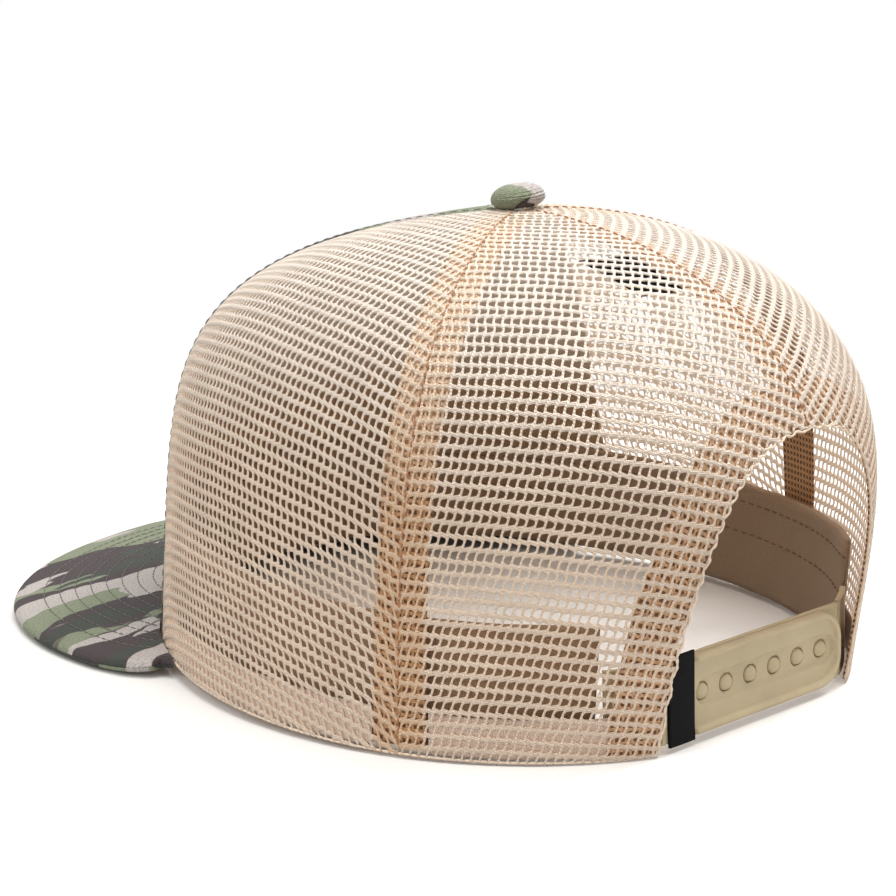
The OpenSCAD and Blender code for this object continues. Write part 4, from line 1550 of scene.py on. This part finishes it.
@dataclass
class Visor:
    """Cloth-covered visor with rows of stitches that follow its edge."""

    reach: float = 60.0
    width: float = 178.0
    wide_back: float = 26.0
    square: float = 2.2
    end: float = 27.0
    end_width: float = 2.8
    arch: float = 1.5
    camber: float = 1.2
    thick: float = 3.5
    cover: float = 0.6
    rows: int = 9
    first_row: float = 8.8
    row_gap: float = 4.5
    row_end: float = 0.985
    row_back: float = -30.0
    row_slack: float = 0.2
    row_sink: float = 0.1
    crown_clear: float = 1.5
    smooth: int = 4
    tail: float = 0.03
    tail_end: float = 0.002
    rim_turn: Tuple[float, float] = (10.0, 88.0)
    wide_share: float = 0.62
    gap: float = 0.3
    dip: float = 0.16
    dip_width: float = 0.9
    flat_extra: float = 8.0
    flat_length: float = 122.0
    flat_share: float = 0.62
    under_cut: float = 400.0

    def root(self, w: Array) -> Array:
        """Inner edge on the hem, w from 0 in the middle to 1 at an end."""
        return FORM.lay(-90 + w * (90 - self.end), 0 * w, -self.gap)

    def edge(self, w: Array) -> Array:
        """Outer edge in plan: a superellipse in front of the widest point, a quarter ellipse behind it."""
        tip = FORM.lay(-self.end, 0.0, -self.gap - self.end_width)
        wide_y = -FORM.length / 2 + self.wide_back
        a = np.pi / 2 * np.clip(1 - w / self.wide_share, 0, 1)
        b = np.pi / 2 * np.clip((w - self.wide_share) / (1 - self.wide_share), 0, 1)
        half = self.width / 2
        front, back = half * np.cos(a) ** (2 / self.square), tip[0] + (half - tip[0]) * np.cos(b)
        x = np.where(w < self.wide_share, front, back)
        front = wide_y - (self.reach + self.wide_back) * np.sin(a) ** (2 / self.square)
        y = np.where(w < self.wide_share, front, wide_y + (tip[1] - wide_y) * np.sin(b))
        return np.stack([x, y], -1)

    def point(self, u: Array, v: Array, run: Array, lift: Array) -> Array:
        """Point of the visor.

        The plan point lies between inner and outer edge; the height runs from hem to rim with a swelling
        camber * 4 s (1 - s), and `lift` is added to it.

        Args:
            u: place along the visor from -1 to 1.
            v: share of the way out to where the rim's rounding starts.
            run: millimetres beyond that.
            lift: height above the middle plane.

        Returns:
            The points.
        """
        u, v, run, lift = np.broadcast_arrays(u, v, run, lift)
        w = np.abs(u)
        a, b = self.root(w), self.edge(w)
        length = np.linalg.norm(b - a[..., :2], axis=-1)
        s = (v * (length - self.thick / 2) + run) / length
        far = np.clip((w - self.wide_share) / (1 - self.wide_share), 0, 1) ** 2
        end_z = self.root(np.array(1.0))[2]
        rim = self.thick / 2 + self.arch * np.clip(1 - w / self.wide_share, 0, 1) ** 2
        rim = rim + np.maximum(end_z - self.thick / 2, 0) * far
        base = np.maximum(a[..., 2], self.thick / 2)
        camber = self.camber * 4 * s * (1 - s) * np.minimum(length / self.reach, 1)
        z = base + (rim - base) * s + camber + lift
        x = (a[..., 0] + (b[..., 0] - a[..., 0]) * s) * np.where(u < 0, -1, 1)
        return np.stack([x, a[..., 1] + (b[..., 1] - a[..., 1]) * s, z], -1)

    def outline(self, count: int, end: float = 1.0) -> Array:
        """Outer edge in plan from the right end to the left one."""
        w = np.linspace(-end, end, count)
        return self.edge(np.abs(w)) * np.stack([np.where(w < 0, -1, 1), np.ones_like(w)], -1)

    def sink(self, points: Array) -> Array:
        """Depth of the quilting: a dip along each row of stitches."""
        far = nearest(points[..., :2].reshape(-1, 2), self.outline(801), 24)[0].reshape(points.shape[:-1])
        row = (far - self.first_row) / self.row_gap
        near = (row - np.round(row)) * self.row_gap
        valid = (np.round(row) >= 0) & (np.round(row) < self.rows)
        return np.where(valid, self.dip * np.exp(-((near / self.dip_width) ** 2)), 0.0)

    def sheet(self, up: int) -> Surface:
        """One cover: flat stations out to the rim, then a quarter round that meets the other cover."""
        u = np.linspace(1 + self.tail, -1 - self.tail, 227)[None, :] * up
        close = np.sqrt(np.clip((1 + self.tail - np.abs(u)) / self.tail, self.tail_end, 1))
        turn = np.radians(np.linspace(*self.rim_turn, 8))
        v = np.concatenate([np.linspace(0, 1, 120), np.ones(8)])[:, None]
        grids = []
        for r in (self.thick / 2, self.thick / 2 - self.cover):
            run = np.concatenate([np.zeros(120), r * np.sin(turn)])[:, None]
            lift = np.concatenate([np.full(120, r), r * np.cos(turn)])[:, None]
            points = self.point(u, v, run, up * lift * close)
            if up > 0:
                points = points - np.array([0, 0, 1]) * self.sink(points)[..., None] * (v < 1)[..., None]
            grids.append(points)
        uv = grids[0][..., :2] * (1, up) + (0, 0 if up > 0 else self.under_cut)
        return shell(grids[0], grids[1], uv)

    def stitches(self) -> Surface:
        """Rows of stitches at even distances inside the edge, as far as the crown lets them run."""
        edge = self.outline(900, self.row_end)
        along = unit(np.gradient(edge, axis=0))
        inward = np.stack([-along[:, 1], along[:, 0]], -1)
        u, v = np.meshgrid(np.linspace(-1, 1, 201), np.linspace(0, 1, 61), indexing="ij")
        cover = self.point(u, v, 0 * v, 0 * v + self.thick / 2).reshape(-1, 3)
        oval = np.array([FORM.width, FORM.length]) / 2 + self.crown_clear
        even = np.ones(2 * self.smooth + 1) / (2 * self.smooth + 1)
        rows = []
        for i in range(self.rows):
            inset = self.first_row + i * self.row_gap
            at = edge + inward * inset
            clear = (((at / oval) ** 2).sum(-1) > 1) & (at[:, 1] < self.row_back)
            at = at[clear & (nearest(at, edge, 6)[0] > inset - self.row_slack)]
            near = nearest(at, cover[:, :2], 6)[1]
            z = np.convolve(np.pad(cover[near, 2], self.smooth, mode="edge"), even, mode="valid")
            line = np.column_stack([at, z - self.row_sink])
            rows.append(VISOR_STITCH.row(line, np.tile([0.0, 0, 1], (len(line), 1))))
        return rows[0].joined(*rows[1:])

    def build(self) -> None:
        """Builds both covers and the stitches, and finishes the board inside."""
        dress(self.sheet(1).build("visor_top"), CAMO, Body.CROWN, ["visor_top_cover"])
        dress(self.sheet(-1).build("visor_under"), CAMO, Body.CROWN, ["visor_under_cover"])
        dress(self.stitches().build("visor_stitches"), GREY_THREAD, Body.CROWN)
        finish_node("visor_board", BOARD)


def finish_node(node: str, finish: Finish) -> None:
    """Gives a carried-over solid its finish."""
    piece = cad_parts[node]
    piece.data.materials.clear()
    piece.data.materials.append(finish.make())
    LOG.info("%s keeps its solid", node)


@dataclass
class Button:
    """Cloth-covered button with pleats round its side."""

    diameter: float = 14.2
    height: float = 5.6
    lean: float = 8.0
    seat: float = 0.75
    tuck: float = 62.0
    waist: float = 0.30
    under: float = 0.44
    square: float = 0.8
    pleats: int = 12
    pleat_depth: float = 0.21
    pleat_middle: float = 0.42
    pleat_spread: float = 0.2
    pleat_side: float = 2.3
    pleat_twist: float = 0.35
    least_radius: float = 0.02
    cloth: float = 0.45
    flat: float = 24.0
    flat_share: float = 0.785
    cut_radius: float = 11.0
    cut_at: Tuple[float, float] = (54.0, -99.0)

    def build(self) -> None:
        """Turns the dome's section round the shank; pleats are ripples of the radius that fade to the top."""
        a = np.linspace(0, 2 * np.pi, 145)
        s = np.linspace(0, 1, 70)
        turn = np.radians(-self.tuck + (90 + self.tuck) * s)
        r0 = np.sign(np.cos(turn)) * np.abs(np.cos(turn)) ** self.square * self.diameter / 2
        under = self.under * np.sin(turn) / math.sin(math.radians(self.tuck))
        z0 = self.height * (self.waist + np.where(turn < 0, under, (1 - self.waist) * np.sin(turn)))
        side = np.exp(-(((s - self.pleat_middle) / self.pleat_spread) ** 2))[:, None]
        pleat = self.pleat_depth * side * (0.5 + 0.5 * np.cos(a - self.pleat_side))[None, :]
        twist = self.pleat_twist * np.sin(2 * a)[None, :]
        ripple = pleat * np.sin(2 * np.pi * (s[:, None] * self.pleats + twist))
        grids = []
        for shrink in (0.0, self.cloth):
            r = np.maximum(r0 - shrink, self.least_radius)[:, None] + ripple
            z = (z0 - shrink * np.sin(np.maximum(turn, 0)))[:, None] + 0 * a
            grids.append(np.stack([r * np.cos(a), r * np.sin(a), z], -1))
        lean = np.array(Matrix.Rotation(math.radians(self.lean), 3, "X"))
        place = np.array([0, FORM.apex_back, FORM.height + self.seat])
        far = self.cut_radius * (1 - s[:, None])
        uv = np.stack([far * np.cos(a), far * np.sin(a)], -1) + self.cut_at
        surface = shell(grids[0] @ lean.T + place, grids[1] @ lean.T + place, uv)
        dress(surface.build("button_cloth"), CAMO, Body.CROWN, ["button_cover"])
        finish_node("button_core", METAL)
        finish_node("button_back", METAL)


@dataclass
class SnapClosure:
    """Two plastic straps with pegs and holes, and the bare label at one root."""

    hinge: Tuple[float, float, float] = (33.0, 88.677, 12.0)
    lap: float = 1.7
    width: float = 20.0
    thick: float = 1.4
    corner: float = 8.0
    first: float = 14.0
    pitch: float = 8.8
    count: int = 6
    tip: float = 6.2
    hole: float = 2.4
    hole_snap: float = 0.28
    hole_slack: float = 0.03
    hole_dip: float = 0.16
    hole_fade: float = 0.22
    peg: float = 2.1
    peg_proud: float = 1.0
    peg_dome: float = 1.5
    peg_flare: float = 0.12
    peg_foot: float = 0.1
    peg_skin: float = 0.001
    rim: float = 1.6
    rim_height: float = 1.3
    rim_spread: float = 0.62
    rim_ramp: float = 0.6
    channel: float = 7.6
    channel_depth: float = 0.85
    channel_gap: float = 0.3
    label_from: float = 1.0
    label_width: float = 9.0
    label_gap: float = 0.3
    label_short: float = 0.3
    label_bulge: float = 0.12
    label_up: float = 0.5
    label_curl: float = 0.18
    label_curl_width: float = 2.5
    label_height: float = 22.5
    label_fold: float = 0.22
    label_half: float = 0.12
    label_lift: float = 0.42
    mesh_step: float = 0.36
    mesh_across: int = 61
    mesh_crowd: float = 1.25
    edge_width: float = 0.4
    edge_round: float = 0.35
    inner_edge_width: float = 0.45
    inner_edge_round: float = 0.3
    groove_ramp: float = 0.26

    # Points closer than this are welded
    WELD = 0.002

    @property
    def skew(self) -> float:
        """Angle of the straps in plan, from the lap and the span."""
        return math.asin(self.lap / (2 * self.hinge[0]))

    @property
    def outer_length(self) -> float:
        """Length of the strap with holes."""
        return self.first + (self.count - 1) * self.pitch + self.tip

    @property
    def inner_length(self) -> float:
        """Length of the strap with pegs."""
        return self.span - self.first + self.tip

    @property
    def span(self) -> float:
        """Distance from bend to bend along the straps."""
        return 2 * self.hinge[0] * math.cos(self.skew)

    def world(self, s: Array, h: Array, d: Array, left: bool) -> Array:
        """Turns strap coordinates into the cap's frame.

        Args:
            s: distance from the bend.
            h: height above the strap's middle.
            d: distance outward from its middle plane.
            left: whether it hangs from the left bend.

        Returns:
            The points.
        """
        c, k = math.cos(self.skew), math.sin(self.skew)
        along = np.array([-c, k, 0.0]) if left else np.array([c, -k, 0.0])
        start = np.array(self.hinge) * ((1 if left else -1), 1, 1)
        s, h, d = (np.asarray(x, float)[..., None] for x in np.broadcast_arrays(s, h, d))
        return start + s * along + d * np.array([k, c, 0.0]) + h * np.array([0, 0, 1.0])

    def grid(self, length: float) -> Tuple[Array, Array]:
        """Even grid that follows the strap's outline, whose free end is rounded.

        Lines across are even along the strap and close up in the rounding; each spreads over the width there.

        Args:
            length: length of the strap.

        Returns:
            Distance from the bend and height of the points.
        """
        body = np.arange(0, length - self.corner, self.mesh_step)
        turn = np.sin(np.linspace(0, np.pi / 2, 26)) * self.corner
        s = np.concatenate([body, length - self.corner + turn])
        over = np.clip(s - (length - self.corner), 0, self.corner)
        half = self.width / 2 - self.corner + np.sqrt(np.maximum(self.corner**2 - over**2, 0))
        eta = np.sin(np.linspace(-1, 1, self.mesh_across) * self.mesh_crowd) / math.sin(self.mesh_crowd)
        return np.broadcast_to(s[:, None], (len(s), len(eta))).copy(), half[:, None] * eta[None, :]

    def inset(self, s: Array, h: Array, length: float) -> Array:
        """Distance of a point inside the strap's outline."""
        a = s - (length - self.corner)
        b = np.abs(h) - (self.width / 2 - self.corner)
        straight = np.minimum(self.width / 2 - np.abs(h), length - s)
        return np.where((a > 0) & (b > 0), self.corner - np.hypot(a, b), straight)

    @staticmethod
    def rounded(inset: Array, width: float, depth: float) -> Array:
        """How far a rounded edge lies lower, by the distance inside the outline."""
        return depth * (1 - np.sqrt(1 - (1 - np.clip(inset / width, 0, 1)) ** 2))

    def outer(self) -> None:
        """Builds the strap with holes: rounded rim, sunk channel, and round holes with soft edges."""
        length = self.outer_length
        s, h = self.grid(length)
        centre = self.first + self.pitch * np.clip(np.round((s - self.first) / self.pitch), 0, self.count - 1)
        r = np.hypot(s - centre, h)
        beside = np.abs(r - self.hole) < self.hole_snap
        snap = np.where(beside, self.hole / np.maximum(r, 1e-6), 1.0)
        s, h = centre + (s - centre) * snap, h * snap
        r = np.hypot(s - centre, h)
        inset = self.inset(s, h, length)
        start = self.label_from + self.label_width + self.label_gap
        open_end = np.clip((s - start) / self.rim_ramp, 0, 1)
        beyond = (inset - self.rim / 2) / (self.rim * self.rim_spread)
        bump = np.sqrt(np.maximum(1 - beyond**2, 0))
        soft = self.rounded(inset, self.edge_width, self.edge_round)
        top = self.thick / 2 - soft + self.rim_height * bump * open_end
        end = length - self.rim - self.channel_gap - self.channel / 2
        run = np.clip(s, self.first - self.hole + self.channel / 2, end)
        groove = np.hypot(s - run, h) - self.channel / 2
        sunk = np.clip(0.5 - groove / self.groove_ramp, 0, 1)
        top = top - self.channel_depth * sunk * sunk * (3 - 2 * sunk)
        top = top - self.hole_dip * np.exp(-np.maximum(r - self.hole, 0) / self.hole_fade)
        under = np.full_like(top, -self.thick / 2)
        middle = 0.25 * (r[:-1, :-1] + r[:-1, 1:] + r[1:, 1:] + r[1:, :-1])
        keep = middle > self.hole - self.hole_slack
        uv = np.stack([s, h], -1)
        surface = shell(self.world(s, h, top, True), self.world(s, h, under, True), uv, keep)
        surface = Surface(surface.points, surface.quads[:, ::-1], surface.uv)
        piece = surface.joined(self.bead(True)).build("holes_strap_moulding")
        dress(self.facing_out(piece), SNAP, Body.HOLES, ["outer_strap"])

    def bead(self, left: bool) -> Surface:
        """Round edge of a strap at its bend."""
        z = np.linspace(-self.width / 2, self.width / 2, 5)
        path = self.world(0 * z, z, 0 * z, left)[None]
        return tubes(path, np.full(5, self.thick / 2), np.array([[1.0, 0, 0]]), 16)

    @classmethod
    def facing_out(cls, piece: Piece) -> Piece:
        """Turns the faces of a closed piece outward."""
        work = bmesh.new()
        work.from_mesh(piece.data)
        bmesh.ops.remove_doubles(work, verts=work.verts, dist=cls.WELD * MM)
        bmesh.ops.recalc_face_normals(work, faces=work.faces)
        work.to_mesh(piece.data)
        work.free()
        return piece

    def inner(self) -> None:
        """Builds the strap with pegs; a peg is a cylinder with a flat dome, turned round its axis."""
        length = self.inner_length
        s, h = self.grid(length)
        inset = self.inset(s, h, length)
        top = self.thick / 2 - self.rounded(inset, self.inner_edge_width, self.inner_edge_round)
        plate = shell(self.world(s, h, top, False), self.world(s, h, -top, False), np.stack([s, h], -1))
        a = np.linspace(0, 2 * np.pi, 33)
        foot = self.lap - self.channel_depth + self.peg_proud - self.peg_dome
        bend = np.linspace(0, np.pi / 2, 11)
        r = [self.peg + self.peg_flare, self.peg, self.peg]
        r = np.concatenate([r, self.peg * np.cos(bend[1:])])
        d = [-self.peg_foot, self.peg_foot, foot]
        d = np.concatenate([d, foot + self.peg_dome * np.sin(bend[1:])]) + self.thick / 2
        pegs = []
        for i in range(self.count):
            at = self.span - self.first - i * self.pitch
            ring = self.world(at + r[:, None] * np.cos(a), r[:, None] * np.sin(a), d[:, None], False)
            core = ring * (1 - self.peg_skin) + self.peg_skin * ring.mean(axis=(0, 1))
            pegs.append(shell(ring, core, np.zeros(ring.shape[:2] + (2,))))
        piece = plate.joined(self.bead(False), *pegs).build("pegs_strap_moulding")
        dress(self.facing_out(piece), SNAP, Body.PEGS, ["inner_strap"])

    def label(self) -> None:
        """Builds the bare black label: a strip folded once, with the fold towards the free end."""
        turn = np.linspace(-np.pi / 2, np.pi / 2, 9)
        n = 16
        low, high = self.label_from, self.label_from + self.label_width - self.label_short
        fold = self.label_fold
        s = np.concatenate([np.linspace(low, high, n), high + fold * np.cos(turn), np.linspace(high, low, n)])
        d = np.concatenate([np.full(n, -fold), fold * np.sin(turn), np.full(n, fold)])
        bulge = self.label_bulge * np.sin((s - low) / self.label_width * np.pi)
        d = d + self.thick / 2 + self.label_lift + bulge
        h = np.linspace(-self.label_height / 2, self.label_height / 2, 40) + self.label_up
        curl = self.label_curl * np.exp(-(((h - h[0]) / self.label_curl_width) ** 2))
        middle = self.world(s[None, :], h[:, None], d[None, :] + curl[:, None], True)
        out = self.label_half * normals(middle)
        run = run_of(np.stack([s, d], -1))
        uv = np.stack(np.broadcast_arrays(run[None, :], h[:, None]), -1)
        piece = shell(middle + out, middle - out, uv).build("strap_label_cloth")
        dress(self.facing_out(piece), LABEL, Body.HOLES, ["strap_label"])

    def build(self) -> None:
        """Builds both straps and the label, and finishes the roots."""
        self.outer()
        self.inner()
        self.label()
        finish_node("left_strap_root", SNAP)
        finish_node("right_strap_root", SNAP)


SOFT_BOXES = (
    ("top box", (0.1, 0.15, 1.5), 1.1, 16.0),
    ("key box", (-0.75, 0.35, 1.35), 0.4, 11.0),
    ("left box", (1.3, -0.1, 1.0), 1.0, 6.2),
    ("back box", (0.1, 1.5, 1.0), 1.0, 3.0),
)


@dataclass
class Studio:
    """Camera, pale floor and soft light."""

    azimuth: float = 137.04
    elevation: float = 13.73
    roll: float = -1.66
    distance: float = 663.97
    offset: Tuple[float, float] = (-14.08, 52.87)
    focal: float = 2435.8
    image: float = 896.0
    sensor: float = 36.0
    floor_half: float = 1500.0
    floor_drop: float = 0.3
    floor_fades: Tuple[float, float] = (0.17, 0.34)
    floor_lit: Colour = (0.72, 0.72, 0.72, 1.0)
    # Camera-seen floor colour, tinted warm so that only its shadows show a painted warm cast
    floor_seen: Colour = (0.96, 0.935, 0.905, 1.0)
    # Painted pool of light on the floor inside the cap: its middle, how far out it fades, and its strength
    inside: Tuple[float, float, float] = (0.0, 0.05, 0.0)
    inside_fades: Tuple[float, float] = (0.04, 0.085)
    inside_glow: float = 0.2
    room: float = 0.4
    aim: Tuple[float, float, float] = (0.0, 0.0, 0.05)

    def camera(self) -> None:
        """Places the camera at the photograph's view: back along two angles, then offset and rolled."""
        a, e, r = (math.radians(x) for x in (self.azimuth, self.elevation, self.roll))
        back = np.array([math.sin(a) * math.cos(e), -math.cos(a) * math.cos(e), math.sin(e)])
        right = np.array([math.cos(a), math.sin(a), 0.0])
        up = np.cross(back, right)
        right, up = right * math.cos(r) + up * math.sin(r), up * math.cos(r) - right * math.sin(r)
        at = (back * self.distance + right * self.offset[0] + up * self.offset[1]) * MM
        data = bpy.data.cameras.new("camera")
        data.sensor_width = self.sensor
        data.lens = self.focal / self.image * self.sensor
        data.clip_start, data.clip_end = 0.01, 50.0
        camera = bpy.data.objects.new("camera", data)
        matrix = Matrix.Identity(4)
        for i, axis in enumerate((right, up, back)):
            for j in range(3):
                matrix[j][i] = axis[j]
        matrix.translation = Vector(at)
        camera.matrix_world = matrix
        bpy.context.scene.collection.objects.link(camera)
        bpy.context.scene.camera = camera

    def floor(self) -> None:
        """Makes the floor, which fades away round the cap and can't be seen from below; seen by the camera
        its shadows take a painted warm cast, and a painted pool of light lies on it inside the cap.
        """
        line = np.linspace(-self.floor_half, self.floor_half, 3)
        grid = np.stack(np.meshgrid(line, line), -1)
        points = np.concatenate([grid, np.full(grid.shape[:2] + (1,), -self.floor_drop)], -1)
        index = np.arange(9).reshape(3, 3)
        quads = np.stack([index[:-1, :-1], index[:-1, 1:], index[1:, 1:], index[1:, :-1]], -1).reshape(-1, 4)
        floor = Surface(points.reshape(-1, 3), quads, points[..., :2].reshape(-1, 2)).build("floor", False)
        material = bpy.data.materials.new("floor")
        material.use_nodes = True
        bench = NodeBench(material.node_tree)
        shader = material.node_tree.nodes["Principled BSDF"]
        shader.inputs["Roughness"].default_value = 1.0
        shader.inputs["Specular IOR Level"].default_value = 0.0
        place = bench.place()
        far = bench.add("VectorMath", {0: place}, operation="LENGTH").outputs["Value"]
        above = bench.math("SUBTRACT", 1.0, bench.add("NewGeometry").outputs["Backfacing"])
        alpha = bench.math("MULTIPLY", bench.span(far, *self.floor_fades, 1.0, 0.0), above)
        bench.link(alpha, shader.inputs["Alpha"])
        # Warm camera-seen colour paints a warm cast into the floor's shadows
        seen = bench.add("LightPath").outputs["Is Camera Ray"]
        bench.link(bench.mix(seen, self.floor_lit, self.floor_seen), shader.inputs["Base Color"])
        # Painted pool of light on the floor inside the cap, seen only by the camera
        middle = bench.add("VectorMath", {0: place, 1: self.inside}, operation="DISTANCE").outputs["Value"]
        glow = bench.math("MULTIPLY", seen, bench.span(middle, *self.inside_fades, self.inside_glow, 0.0))
        bench.link(bench.grey(glow), shader.inputs["Emission Color"])
        shader.inputs["Emission Strength"].default_value = 1.0
        floor.data.materials.append(material)

    def lamp(self, name: str, at: Tuple[float, float, float], size: float, power: float) -> None:
        """Adds a square soft box that faces the cap.

        Args:
            name: name of the lamp.
            at: place in metres.
            size: side of the square.
            power: watts.
        """
        data = bpy.data.lights.new(name, "AREA")
        data.shape, data.size, data.energy = "SQUARE", size, power
        lamp = bpy.data.objects.new(name, data)
        lamp.location = at
        lamp.rotation_mode = "QUATERNION"
        lamp.rotation_quaternion = (Vector(at) - Vector(self.aim)).to_track_quat("Z", "Y")
        bpy.context.scene.collection.objects.link(lamp)

    def light(self) -> None:
        """Lights the scene: a white room and soft boxes above and beside the camera."""
        world = bpy.data.worlds.new("room")
        world.use_nodes = True
        bench = NodeBench(world.node_tree)
        path = bench.add("LightPath")
        seen = bench.math("MAXIMUM", path.outputs["Is Camera Ray"], path.outputs["Is Glossy Ray"])
        seen = bench.math("MAXIMUM", seen, path.outputs["Is Transmission Ray"])
        back = world.node_tree.nodes["Background"]
        back.inputs["Color"].default_value = WHITE
        bench.link(bench.span(seen, 0.0, 1.0, self.room, 1.0), back.inputs["Strength"])
        bpy.context.scene.world = world
        for soft_box in SOFT_BOXES:
            self.lamp(*soft_box)

    def build(self) -> None:
        """Sets up camera, floor, light and colour."""
        self.camera()
        self.floor()
        self.light()
        bpy.context.scene.view_settings.view_transform = "Standard"


def main() -> None:
    """Builds the sub-assemblies in order."""
    logging.basicConfig(level=logging.INFO, format="%(name)s: %(message)s")
    for part in (Studio(), Crown(), Sweatband(), Visor(), Button(), SnapClosure()):
        LOG.info("building %s", type(part).__name__)
        part.build()


if __name__ == "__main__":
    main()
